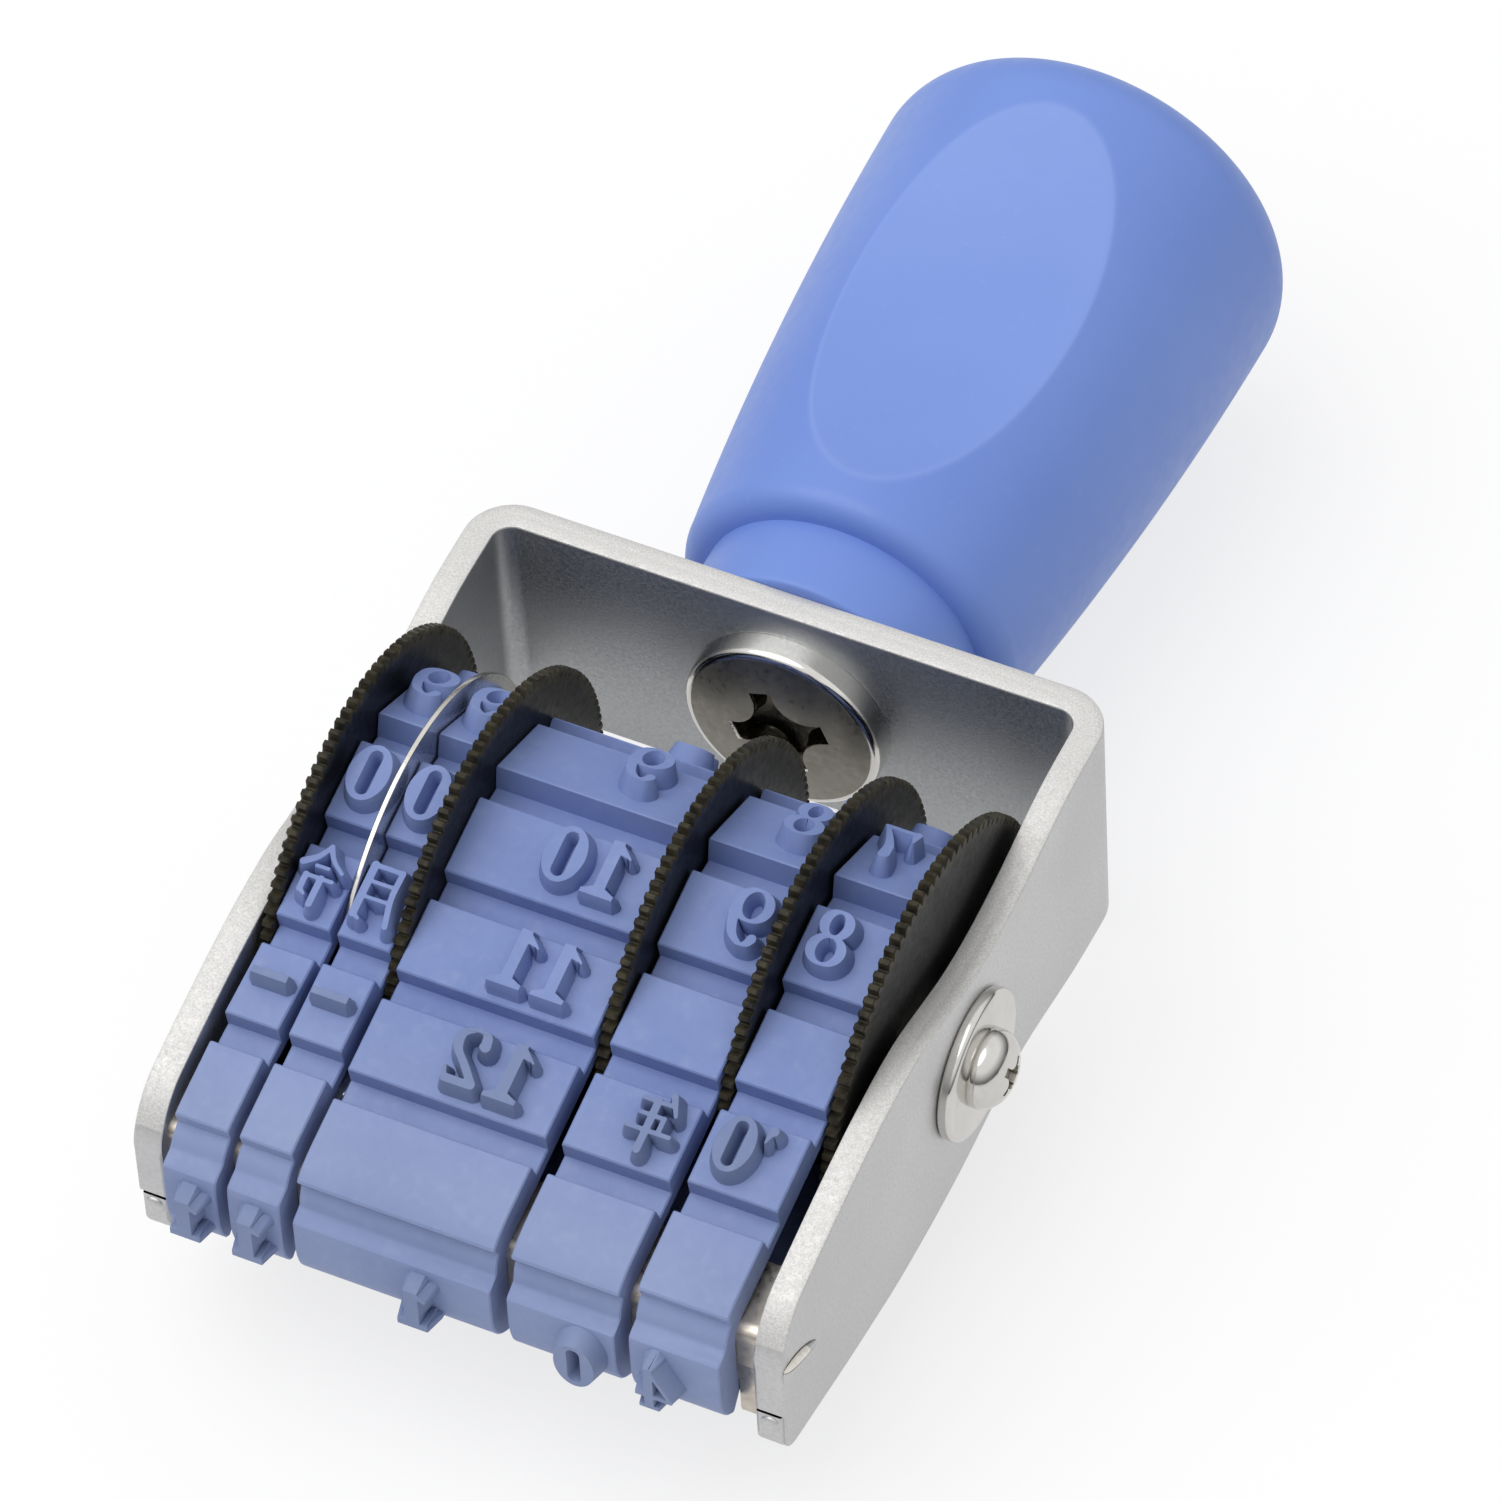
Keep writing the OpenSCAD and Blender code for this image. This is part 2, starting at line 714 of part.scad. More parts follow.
// Marks for a short year, the year, the month and a sixth, and a dash
module mark(name) {
  if (name == "dash") bar(0, 0, 0.62, stroke);
  if (name == "short") {
    numeral(0);
    slant([-0.46, 0.5], [-0.54, 0.26], stroke);
  }
  if (name == "month") {
    for (y = [0.45, 0.15, -0.1]) bar(0, y, 0.6, thin);
    bar(0.25, 0, thin, 1);
    slant([-0.25, 0.5], [-0.28, -0.5], thin);
  }
  if (name == "year") {
    for (y = [0.3, 0.05]) bar(0, y, 0.7, thin);
    bar(0, -0.22, 0.95, thin);
    bar(0.02, -0.1, thin, 0.85);
    bar(-0.25, -0.08, thin, 0.3);
    slant([-0.2, 0.5], [-0.4, 0.25], thin);
  }
  if (name == "six") {
    bar(0, 0.38, thin, 0.24);
    bar(0, 0.18, 0.8, thin);
    slant([-0.08, 0], [-0.32, -0.5], thin);
    slant([0.08, 0], [0.32, -0.5], thin);
  }
}

// Whole text of one pad: a number of one or two figures, or a mark
module pad_text(text) {
  advance = numeral_w + thin;
  if (is_string(text)) mark(text);
  else if (text < 10) numeral(text);
  else {
    translate([-advance / 2, 0]) numeral(floor(text / 10));
    translate([advance / 2, 0]) numeral(text % 10);
  }
}

// One band with its raised type, mirrored as print type is; texts run up the front
module band(x, w, back, texts, shift = 0) {
  root = (band_t - base_t) / 3;
  color(rubber_colour) rest() {
    across(x, w) band_outline(back);
    for (k = [0 : pad_count - 1]) if (k < len(texts) && texts[k] != "blank") {
      a = band_angle(pad_at(k, back));
      top = band_point(pad_at(k, back)) + (band_t - mid_t - root) * outward(a);
      translate([x + w / 2 + shift, top[0], top[1]]) rotate([a, 0, 0])
        linear_extrude(type_relief + root) mirror([1, 0]) scale(type_size) pad_text(texts[k]);
    }
  }
}

module day_units_band() {
  texts = [1, "blank", "dash", "six", 0, 9, 8, 7, 6, 5, 4, 3, 2];
  band(day_units_x, day_units_w, day_shift, texts);
}

module day_tens_band() {
  texts = [1, "blank", "dash", "month", 0, 9, 8, 7, 6, 5, 4, 3, 2];
  band(day_tens_x, day_tens_w, day_shift, texts);
}

module month_band() {
  texts = [1, "blank", 12, 11, 10, 9, 8, 7, 6, 5, 4, 3, 2];
  band(month_x, month_w, year_shift, texts, month_w * 0.14);
}

module year_units_band() {
  texts = [0, "blank", "year", "blank", 9, 8, 7, 6, 5, 4, 3, 2, 1];
  band(year_units_x, year_units_w, year_shift, texts, year_units_w * 0.2);
}

module year_tens_band() {
  texts = [4, "blank", "short", "blank", 8, 7, 6, 5, 3, 2, 1, 9, "blank"];
  band(year_tens_x, year_tens_w, year_shift, texts, -year_tens_w * 0.14);
}

frame();
bridge();
handle();
handle_insert();
handle_screw();
axle();
axle_screw_left();
axle_screw_right();
washer_left();
washer_right();
ring_left();
ring_right();
separator_disc();
day_units_wheel();
day_tens_wheel();
month_wheel();
year_units_wheel();
year_tens_wheel();
day_units_band();
day_tens_band();
month_band();
year_units_band();
year_tens_band();
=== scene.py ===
"""Looks of a hand date stamp that lies on its back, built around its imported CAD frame.

Sizes below are in millimetres from the axle, with Y towards the handle; to_row() turns them
into metres in the frame's own place.
"""
import functools
from math import acos, asin, atan2, cos, degrees, hypot, pi, radians, sin, sqrt

import bpy
import bmesh
import numpy as np
from mathutils import Matrix, Vector
from mathutils.geometry import tessellate_polygon


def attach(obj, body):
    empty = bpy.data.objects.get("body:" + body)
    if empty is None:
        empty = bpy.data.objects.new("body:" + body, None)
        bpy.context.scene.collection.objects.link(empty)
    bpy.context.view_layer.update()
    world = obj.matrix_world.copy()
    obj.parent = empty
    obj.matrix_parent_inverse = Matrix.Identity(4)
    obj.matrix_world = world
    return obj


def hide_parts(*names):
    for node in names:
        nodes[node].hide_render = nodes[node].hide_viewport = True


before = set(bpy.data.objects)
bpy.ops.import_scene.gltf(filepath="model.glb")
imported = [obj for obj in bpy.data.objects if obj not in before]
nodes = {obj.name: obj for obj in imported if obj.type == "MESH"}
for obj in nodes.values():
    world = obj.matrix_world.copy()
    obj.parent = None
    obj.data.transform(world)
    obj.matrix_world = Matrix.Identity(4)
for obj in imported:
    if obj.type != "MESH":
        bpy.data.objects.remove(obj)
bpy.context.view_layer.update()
scene = bpy.context.scene

MM = 0.001
REST = np.array([0.0, -18.425, 13.8])
HALF_W, WEB_Y = 20.0, 21.2  # outer faces of the frame's plates and web
SIDES = ((-1.0, "left"), (1.0, "right"))


def to_row(points):
    """Axle coordinates in millimetres to the row frame in metres."""
    return (np.asarray(points, float) + REST) * MM


def lin(r, g, b):
    """A screen colour, 0 to 255, as linear light."""
    shares = (r / 255, g / 255, b / 255)
    return tuple(c / 12.92 if c <= 0.04045 else ((c + 0.055) / 1.055) ** 2.4 for c in shares)


# Materials

MIDDLE = (0.3, 0.7)  # most values of a noise lie between these


class Tree:
    """The node tree of a material or a world, with short calls to fill it."""

    def __init__(self, owner):
        owner.use_nodes = True
        self.tree = owner.node_tree
        self.tree.nodes.clear()

    def new(self, kind, inputs=None, out=0, **settings):
        """Adds a node and returns one of its outputs; an input is a socket to link or a plain value."""
        node = self.tree.nodes.new("ShaderNode" + kind)
        for name, value in settings.items():
            setattr(node, name, value)
        for name, value in (inputs or {}).items():
            if isinstance(value, bpy.types.NodeSocket):
                self.tree.links.new(value, node.inputs[name])
            else:
                node.inputs[name].default_value = value
        return node.outputs[out] if node.outputs else None

    def ramp(self, value, *stops):
        """A colour that follows a value through stops of (value, linear colour)."""
        colour_out = self.new("ValToRGB", {"Fac": value})
        elements = colour_out.node.color_ramp.elements
        while len(elements) < len(stops):
            elements.new(1.0)
        for element, (at, colour) in zip(elements, stops):
            element.position = at
            element.color = (*colour, 1.0)
        return colour_out


class Shader(Tree):
    """A material with one Principled shader.

    A noise is written as (features in a millimetre, detail) and a colour by its screen values.
    """

    def __init__(self, name):
        self.mat = bpy.data.materials.new(name)
        super().__init__(self.mat)
        self.place = self.new("TexCoord", out="Object")

    def noise(self, per_mm, detail):
        return self.new("TexNoise", {"Vector": self.place, "Scale": per_mm / MM, "Detail": detail})

    def span(self, value, low, high, to_low, to_high):
        inputs = {"Value": value, "From Min": low, "From Max": high, "To Min": to_low, "To Max": to_high}
        return self.new("MapRange", inputs)

    def mix(self, share, under, colour):
        """Lays a plain colour over a colour socket, by a value socket."""
        return self.new("Mix", {0: share, 6: under, 7: (*lin(*colour), 1.0)}, 2, data_type="RGBA")

    def attribute(self, name):
        return self.new("Attribute", out="Fac", attribute_name=name)

    def tone(self, noise, dark, light, between=MIDDLE):
        """A colour that drifts from dark to light."""
        return self.ramp(self.noise(*noise), (between[0], lin(*dark)), (between[1], lin(*light)))

    def patched(self, under, noise, low, high, most, colour):
        """Patches of a colour that set in where a noise passes low and reach a share of most at high."""
        return self.mix(self.span(self.noise(*noise), low, high, 0.0, most), under, colour)

    def rough(self, noise, least, most, between=MIDDLE):
        return self.span(self.noise(*noise), *between, least, most)

    def bump(self, noise, depth_mm, strength, under=None):
        inputs = {"Height": self.noise(*noise), "Distance": depth_mm * MM, "Strength": strength}
        if under is not None:
            inputs["Normal"] = under
        return self.new("Bump", inputs)

    def done(self, colour, rough, normal, metal=0.0, specular=0.5):
        inputs = {"Base Color": colour, "Roughness": rough, "Normal": normal,
                  "Metallic": metal, "Specular IOR Level": specular}
        self.new("OutputMaterial", {"Surface": self.new("BsdfPrincipled", inputs)})
        return self.mat


LIT_END_FROM, LIT_END_TO = -0.031, -0.041  # along Y in metres: painted light, the print end is made paler where more fill light falls on it


def rubber_material():
    s = Shader("date_rubber")
    cloud = s.tone((0.12, 4), (110, 128, 180), (124, 141, 190))
    dusty = s.patched(cloud, (0.9, 5), 0.55, 0.75, 0.25, (146, 160, 196))
    y = s.new("SeparateXYZ", {0: s.place}, "Y")
    # Painted light: the print end is mixed paler, standing in for the fill light it gets
    painted_lit = s.mix(s.span(y, LIT_END_FROM, LIT_END_TO, 0.0, 0.26), dusty, (158, 166, 180))
    grimy = s.mix(s.attribute("grime"), painted_lit, (96, 106, 126))
    skin = s.bump((6.0, 4), 0.02, 0.5)
    return s.done(grimy, s.rough((2.0, 3), 0.48, 0.64), s.bump((0.7, 3), 0.06, 0.35, skin), specular=0.35)


def grip_material():
    s = Shader("satin_blue_plastic")
    colour = s.tone((0.05, 3), (104, 133, 206), (113, 142, 212))
    flecked = s.patched(colour, (1.6, 5), 0.64, 0.8, 0.2, (142, 166, 224))
    # Painted highlight: the thumb dish is mixed lighter, most of all along its edge
    dish_light = s.mix(s.attribute("dish_light"), flecked, (140, 164, 222))
    return s.done(dish_light, s.rough((1.0, 4), 0.38, 0.48), s.bump((3.2, 4), 0.012, 0.5), specular=0.45)


def wheel_material():
    s = Shader("black_wheel")
    black = s.tone((0.5, 4), (14, 14, 15), (22, 22, 23))
    uneven = s.span(s.noise(1.3, 5), 0.35, 0.65, 0.25, 1.0)
    dust = s.new("Math", {0: uneven, 1: s.attribute("rim")}, operation="MULTIPLY")
    dusty = s.mix(dust, black, (64, 60, 48))
    return s.done(dusty, s.rough((2.0, 3), 0.28, 0.42), s.bump((2.6, 4), 0.03, 0.5), specular=0.1)


def metal_material(name, tone, rough, bump, patches=None, metal=1.0):
    """A metal from the arguments of Shader's tone, rough, bump and patched calls."""
    s = Shader(name)
    colour = s.tone(*tone)
    if patches:
        colour = s.patched(colour, *patches)
    return s.done(colour, s.rough(*rough), s.bump(*bump), metal)


def plate_material(name, dark, light, speck):
    """Satin plating with a fine grain."""
    return metal_material(name, ((0.08, 3), dark, light), ((4.0, 4), 0.4, 0.54),
                          ((7.0, 3), 0.02, 0.5), ((5.0, 4), 0.35, 0.7, 0.5, speck))


def satin_material(name, dark, light, worn_to):
    """Nickel with a satin skin."""
    return metal_material(name, ((0.3, 3), dark, light), ((2.2, 2), 0.26, 0.4),
                          ((1.1, 1), 0.008, 0.4), ((1.6, 3), 0.55, 0.75, 0.4, worn_to))


def recess_material(name, dark, light):
    """A darker copy of metal for the walls of recesses, slits and gaps: painted shade."""
    return metal_material(name, ((1.5, 4), dark, light), ((2.5, 3), 0.22, 0.42), ((3.0, 3), 0.02, 0.5))


RUBBER = rubber_material()
GRIP = grip_material()
WHEEL = wheel_material()
PLATE = plate_material("satin_plated_steel", (208, 208, 209), (220, 220, 220), (190, 190, 192))
# A darker copy of the plating for the strip's inner faces: painted shade
SHADED_INSIDE = plate_material("painted_shade_inside", (181, 183, 185), (193, 195, 196), (165, 167, 169))
# A darker copy of the nickel for the handle screw's face: painted shade for the dark reflection it shows
SHADED_FACE = satin_material("shaded_satin_screw_face", (128, 124, 116), (146, 142, 134), (110, 105, 96))
SHEET_NICKEL = satin_material("satin_bridge", (194, 185, 172), (214, 206, 194), (170, 160, 147))
SHADED_RECESS = recess_material("painted_shade_recess", (52, 49, 42), (92, 87, 76))
# A lighter painted shade for the small recess of the axle screws
RECESS_BRIGHT = recess_material("bright_recess", (128, 124, 114), (190, 186, 176))
# The blanked edges of the sheet: the same plating over a coarse torn grain
EDGE = metal_material("plated_sheared_edge", ((9.0, 4), (194, 193, 191), (216, 215, 213), (0.36, 0.64)),
                      ((3.0, 4), 0.5, 0.7), ((9.0, 3), 0.012, 0.5), metal=0.45)
# Painted highlight: the lit lip of a slit, made bright in its colour
LIT_LIP = metal_material("painted_highlight_lip", ((2.5, 4), (236, 230, 219), (252, 249, 242)),
                      ((3.0, 3), 0.4, 0.6), ((5.0, 3), 0.015, 0.5), metal=0.15)
NICKEL = metal_material("polished_nickel", ((0.3, 3), (208, 206, 202), (220, 218, 214)),
                        ((1.4, 4), 0.1, 0.19, (0.35, 0.7)), ((1.1, 3), 0.01, 0.4),
                        ((1.2, 5), 0.55, 0.75, 0.3, (184, 180, 172)))
STEEL = metal_material("bright_steel", ((0.5, 4), (205, 202, 196), (226, 223, 217)),
                       ((4.0, 3), 0.16, 0.3), ((5.0, 3), 0.008, 0.4))
BRASS = metal_material("turned_brass", ((0.4, 3), (196, 160, 92), (214, 180, 112)),
                       ((3.0, 3), 0.24, 0.4), ((4.0, 2), 0.01, 0.4))


# Mesh making


def add_object(name, data):
    obj = bpy.data.objects.new(name, data)
    scene.collection.objects.link(obj)
    return obj


class Build:
    """Collects points, faces and one value per point, in axle millimetres."""

    def __init__(self):
        self.points, self.marks, self.faces, self.mats = [], [], [], []

    def add(self, points, mark=0.0):
        """Returns the index of the first point; mark is one value, or one for each point."""
        start = len(self.points)
        self.points += [tuple(p) for p in points]
        self.marks += list(np.broadcast_to(np.ravel(mark), len(points)))
        return start

    def face(self, corners, mat=0):
        self.faces.append(tuple(map(int, corners)))
        self.mats.append(mat)

    def grid(self, rows, closed_rows=False, mark=0.0):
        """A skin over rows of points, each row closed on itself. Returns the index of the first point."""
        rows = np.asarray(rows, float)
        n, m = rows.shape[:2]
        start = self.add(rows.reshape(-1, 3), mark)
        for i in range(n if closed_rows else n - 1):
            a, b = start + i * m, start + (i + 1) % n * m
            for j in range(m):
                k = (j + 1) % m
                self.face((a + j, a + k, b + k, b + j))
        return start

    def cap(self, first, count, flip=False, mat=0):
        ring = range(first, first + count)
        self.face(ring[::-1] if flip else ring, mat)

    def capped(self, rows, mark=0.0):
        """A skin over closed rows, with a flat face on the first and the last of them."""
        n, m = len(rows), len(rows[0])
        first = self.grid(rows, mark=mark)
        self.cap(first, m, True)
        self.cap(first + (n - 1) * m, m)

    def piece(self, name, slot, stands_for, materials, mark_name=None, crease=32.0, body="stamp"):
        """Makes the object; the values of the points go into a point attribute called mark_name."""
        me = bpy.data.meshes.new(name)
        me.from_pydata([tuple(p) for p in to_row(self.points)], [], self.faces)
        for m in materials:
            me.materials.append(m)
        me.polygons.foreach_set("material_index", self.mats)
        if mark_name:
            layer = me.attributes.new(mark_name, "FLOAT", "POINT")
            layer.data.foreach_set("value", np.array(self.marks, np.float32))
        bm = bmesh.new()
        bm.from_mesh(me)
        bmesh.ops.remove_doubles(bm, verts=bm.verts, dist=1e-8)
        bmesh.ops.recalc_face_normals(bm, faces=bm.faces)
        bm.to_mesh(me)
        bm.free()
        me.shade_smooth()
        me.set_sharp_from_angle(angle=radians(crease))
        obj = add_object(name, me)
        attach(obj, body)
        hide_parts(*stands_for)


def around(count):
    """Angles of count points on a circle."""
    return np.linspace(0, 2 * pi, count, endpoint=False)


def along_x(start, way=1.0):
    """Places (a, b, height) arrays on an axis along X: height runs from start in the direction of way."""
    return lambda a, b, h: np.stack([start + way * h, a, b], -1)


def along_y(start, way=1.0):
    return lambda a, b, h: np.stack([a, start + way * h, b], -1)


def circle(place, r, h, a):
    """Points at the angles a, with radius r and height h on the axis of place."""
    return place(r * np.cos(a), r * np.sin(a), h + np.zeros(len(a)))


def arc(cx, cy, r, a0, a1, n):
    t = np.radians(np.linspace(a0, a1, n))
    return [(cx + r * cos(v), cy + r * sin(v)) for v in t]


def ring_build(place, r_in, r_out, t, soft, arc_points=5, count=128):
    """A flat ring of thickness t with rounded outer edges and small inner chamfers."""
    c = min(soft, t / 2) * 0.5
    profile = ([(r_in, c), (r_in + c, 0)] + arc(r_out - soft, soft, soft, -90, 0, arc_points)
               + arc(r_out - soft, t - soft, soft, 0, 90, arc_points) + [(r_in + c, t), (r_in, t - c)])
    build = Build()
    build.grid([circle(place, r, h, around(count)) for r, h in profile], True)
    return build


# Type: strokes drawn as distances, so that every figure gets smooth drafted walls

UNIT = 1000  # height of the field that the figures are drawn on
THICK, THIN = 0.088, 0.034
FIELD_X, FIELD_Y, TRACE_STEP = 0.72, 0.66, 0.014  # half size and cell of the grid that traces a figure


def swept(points, widths=None):
    """A stroke along points; without widths it is thick where it runs upright and thin where it lies."""
    p = np.array(points, float)
    if widths is None:
        step = np.gradient(p, axis=0)
        upright = np.abs(step[:, 1]) / np.maximum(np.hypot(*step.T), 1e-9)
        widths = THIN + (THICK - THIN) * upright ** 1.6
    return "stroke", p, np.asarray(widths, float)


def oval(*sizes):
    """A round stroke; sizes are the middle and the radii, across and along."""
    cx, cy, rx, ry = np.divide(sizes, UNIT)
    t = np.radians(np.linspace(0, 360, 48))
    return swept(np.stack([cx + rx * np.cos(t), cy + ry * np.sin(t)], 1))


def curve(*controls, n=28, widths=None):
    """A smooth stroke through points, given as across, along, across, along and so on (Catmull-Rom)."""
    c = np.divide(controls, UNIT).reshape(-1, 2)
    c = np.vstack([2 * c[0] - c[1], c, 2 * c[-1] - c[-2]])
    out = []
    for i in range(1, len(c) - 2):
        a, b, d, e = c[i - 1:i + 3]
        for t in np.linspace(0, 1, n // (len(c) - 3) + 2, endpoint=(i == len(c) - 3)):
            out.append(0.5 * (2 * b + (d - a) * t + (2 * a - 5 * b + 4 * d - e) * t ** 2
                              + (3 * b - a - 3 * d + e) * t ** 3))
    return swept(out, widths and np.linspace(*np.divide(widths, UNIT), len(out)))


def line(ax, ay, bx, by, wa, wb=None):
    return swept(np.divide([(ax, ay), (bx, by)], UNIT), np.divide([wa, wb or wa], UNIT))


def ball(*sizes):
    x, y, r = np.divide(sizes, UNIT)
    return swept([(x, y), (x + 1e-4, y)], [r, r])


def bar(x, y, w, h):
    return "bar", np.divide([x, y], UNIT), np.divide([w, h], UNIT) / 2


def solid_oval(rx, ry):
    return "oval", np.zeros(2), np.divide([rx, ry], UNIT)


def cut_slot(half_w, half_h):
    """An upright slot with round ends, cut out of what was drawn before it."""
    return "slot", half_h / UNIT - half_w / UNIT, half_w / UNIT


SIX = [oval(0, -200, 250, 265), curve(200, 340, 120, 440, 0, 450, -160, 300, -250, 0, -250, -200),
       ball(190, 330, 82)]
GLYPHS = {
    "0": [solid_oval(345, 490), cut_slot(108, 385)],
    "1": [bar(0, 0, 200, 980), bar(0, -455, 560, 90), line(-40, 430, -270, 250, 50, 22),
          line(-50, 360, -200, 280, 75, 30), line(-100, -400, -240, -450, 60, 40),
          line(100, -400, 240, -450, 60, 40)],
    "2": [curve(-200, 240, -150, 420, 30, 460, 230, 330, 200, 100, 0, -120, -240, -400),
          ball(-170, 250, 80), line(-240, -420, 200, -420, 70, 75), line(220, -420, 270, -240, 45, 30)],
    "3": [curve(-200, 300, -120, 430, 30, 460, 200, 300, 130, 100, -40, 30),
          curve(-40, 30, 160, -20, 260, -200, 140, -420, -50, -460, -220, -340),
          ball(-180, 290, 75), ball(-200, -300, 80)],
    "4": [bar(80, 0, 165, 960), bar(80, -460, 340, 75), bar(0, -190, 620, 80),
          line(80, 450, -280, -180, 40)],
    "5": [line(-180, 430, 180, 430, 65, 50), line(-190, 440, -200, 20, 35),
          curve(-200, 20, 20, 120, 200, 20, 250, -180, 120, -420, -50, -460, -220, -340),
          ball(-190, -310, 80)],
    "6": SIX,
    "7": [line(-240, 430, 260, 430, 50, 50), line(-240, 420, -270, 170, 85, 20),
          curve(250, 420, 100, 120, 0, -150, -30, -420, widths=(40, 100))],
    "8": [oval(0, 235, 195, 215), oval(0, -215, 240, 240)],
    "9": [(kind, -p, w) for kind, p, w in SIX],
    "worn one": [bar(0, -20, 250, 860), bar(0, -420, 520, 130), line(-60, 340, -220, 260, 70, 50)],
    "dash": [bar(0, 0, 620, 130)],
    "short": [solid_oval(320, 490), cut_slot(100, 385), ball(-490, 380, 85),
              line(-470, 380, -430, 170, 70, 20)],
    "month": [line(-220, 460, 240, 460, 45), line(250, 460, 250, -400, 70),
              line(250, -400, 140, -460, 50, 30),
              curve(-220, 460, -220, 0, -320, -460, n=10, widths=(55, 50)),
              line(-220, 190, 220, 190, 35), line(-220, -80, 220, -80, 35)],
    "year": [line(-170, 490, -310, 200, 60, 35), line(-180, 340, 270, 340, 40),
             line(-160, 100, 240, 100, 40), line(-160, 100, -160, -140, 45),
             line(-350, -160, 350, -160, 42), line(40, 340, 40, -500, 65)],
    "era": [curve(0, 500, -120, 300, -330, 130, n=10, widths=(50, 35)),
            curve(0, 500, 130, 290, 330, 140, n=10, widths=(40, 65)), line(-100, 140, 100, 140, 35),
            line(-240, -50, 200, -50, 38), line(200, -50, 200, -300, 55),
            line(200, -300, 100, -370, 50, 25), line(-50, -50, -50, -500, 60)],
}


def distance(strokes, p):
    """Signed distance from points p to the outline of a figure, below zero inside."""
    best = np.full(len(p), 9.0)
    for kind, a, w in strokes:
        if kind == "slot":
            best = np.maximum(best, w - np.hypot(p[:, 0], np.maximum(np.abs(p[:, 1]) - a, 0)))
        elif kind == "bar":
            q = np.abs(p - a) - w
            best = np.minimum(best, np.hypot(*np.maximum(q, 0).T) + np.minimum(q.max(1), 0))
        elif kind == "oval":
            near = np.linalg.norm((p - a) / w, axis=1)
            steep = np.linalg.norm((p - a) / w ** 2, axis=1)
            best = np.minimum(best, near * (near - 1) / np.maximum(steep, 1e-6))
        else:
            for i in range(len(a) - 1):
                along = a[i + 1] - a[i]
                t = np.clip((p - a[i]) @ along / max(along @ along, 1e-12), 0, 1)
                off = np.linalg.norm(p - a[i] - t[:, None] * along, axis=1)
                best = np.minimum(best, off - (w[i] + (w[i + 1] - w[i]) * t))
    return best


def outlines(strokes):
    """Closed outlines of a figure, traced through a grid of distances."""
    xs = np.arange(-FIELD_X, FIELD_X + 0.01, TRACE_STEP)
    ys = np.arange(-FIELD_Y, FIELD_Y + 0.01, TRACE_STEP)
    gx, gy = np.meshgrid(xs, ys, indexing="ij")
    d = distance(strokes, np.stack([gx.ravel(), gy.ravel()], 1)).reshape(gx.shape)
    inside = d < 0
    cells = inside[:-1, :-1].astype(int) + inside[1:, :-1] + inside[1:, 1:] + inside[:-1, 1:]
    after, where = {}, {}

    def crossing(*ends):
        a, b = key = tuple(sorted(ends))
        if key not in where:
            pa, pb = (np.array([xs[i], ys[j]]) for i, j in key)
            where[key] = pa + d[a] / (d[a] - d[b]) * (pb - pa)
        return key

    for i, j in zip(*np.nonzero((cells > 0) & (cells < 4))):
        corner = [(i, j), (i + 1, j), (i + 1, j + 1), (i, j + 1)]
        sides = [(corner[k], corner[(k + 1) % 4]) for k in range(4)]
        into = [crossing(a, b) for a, b in sides if not inside[a] and inside[b]]
        out = [crossing(a, b) for a, b in sides if inside[a] and not inside[b]]
        for a, b in zip(out, into):
            after[a] = b
    loops = []
    while after:
        first = key = next(iter(after))
        loop = []
        while key in after:
            loop.append(where[key])
            key = after.pop(key)
        if key == first and len(loop) > 8:
            loops.append(thinned(np.array(loop)))
    return loops


def holds(loop, p):
    """Whether a point lies inside a loop."""
    (ax, ay), (bx, by) = loop.T, np.roll(loop, -1, 0).T
    over = (ay > p[1]) != (by > p[1])
    at = ax + (p[1] - ay) * (bx - ax) / np.where(over, by - ay, 1.0)
    return np.count_nonzero(over & (at > p[0])) % 2 == 1


def thinned(loop, slack=0.0014, most=14):
    """Drops points of a loop that lie on the line between their neighbours."""
    keep, n = [0], len(loop)
    while keep[-1] < n - 1:
        i = keep[-1]
        a, j = loop[i], i + 2
        while j < n and j - i < most:
            way = (loop[j] - a) / max(np.linalg.norm(loop[j] - a), 1e-9)
            if np.abs((loop[i + 1:j] - a) @ np.array([-way[1], way[0]])).max() > slack:
                break
            j += 1
        keep.append(j - 1)
    return loop[keep]


TYPE_SIZE, TYPE_RELIEF, TYPE_DRAFT, TYPE_ROOT, TYPE_SOFT, TYPE_IN = 3.65, 1.2, 0.3, 0.35, 0.05, -0.006
SHADES = (0.75, 1.0, 0.8, 0.5)  # how much of a figure's grime its face, shoulder, foot and root show


@functools.cache
def shape(name):
    """A figure of height 1: its rings as (loop, outward normals, reach of the draft), and its triangles."""
    strokes = GLYPHS[name]
    probes, clear = 0.004 * np.eye(2), 0.88
    rings = []
    for loop in outlines(strokes):
        normal = np.stack([distance(strokes, loop + d) - distance(strokes, loop - d) for d in probes], 1)
        normal /= np.maximum(np.linalg.norm(normal, axis=1), 1e-9)[:, None]
        reach = np.full(len(loop), 0.01)
        free = np.ones(len(loop), bool)
        for t in np.linspace(0.015, TYPE_DRAFT / TYPE_SIZE, 8):
            free &= distance(strokes, loop + t * normal) > clear * t
            reach[free] = t
        rings.append((loop, normal, reach))
    starts = np.cumsum([0] + [len(r[0]) for r in rings])
    areas = [np.sum(x * np.roll(y, -1) - y * np.roll(x, -1)) for x, y in (r[0].T for r in rings)]
    way = max(areas, key=abs) > 0
    outer = [i for i, a in enumerate(areas) if (a > 0) == way]
    faces = []
    for i in outer:
        group = [i] + [j for j, r in enumerate(rings) if j not in outer and holds(rings[i][0], r[0][0])]
        index = np.concatenate([np.arange(starts[j], starts[j + 1]) for j in group])
        loops = [[Vector((*p, 0.0)) for p in rings[j][0]] for j in group]
        faces += [tuple(index[list(t)]) for t in tessellate_polygon(loops)]
    return rings, faces


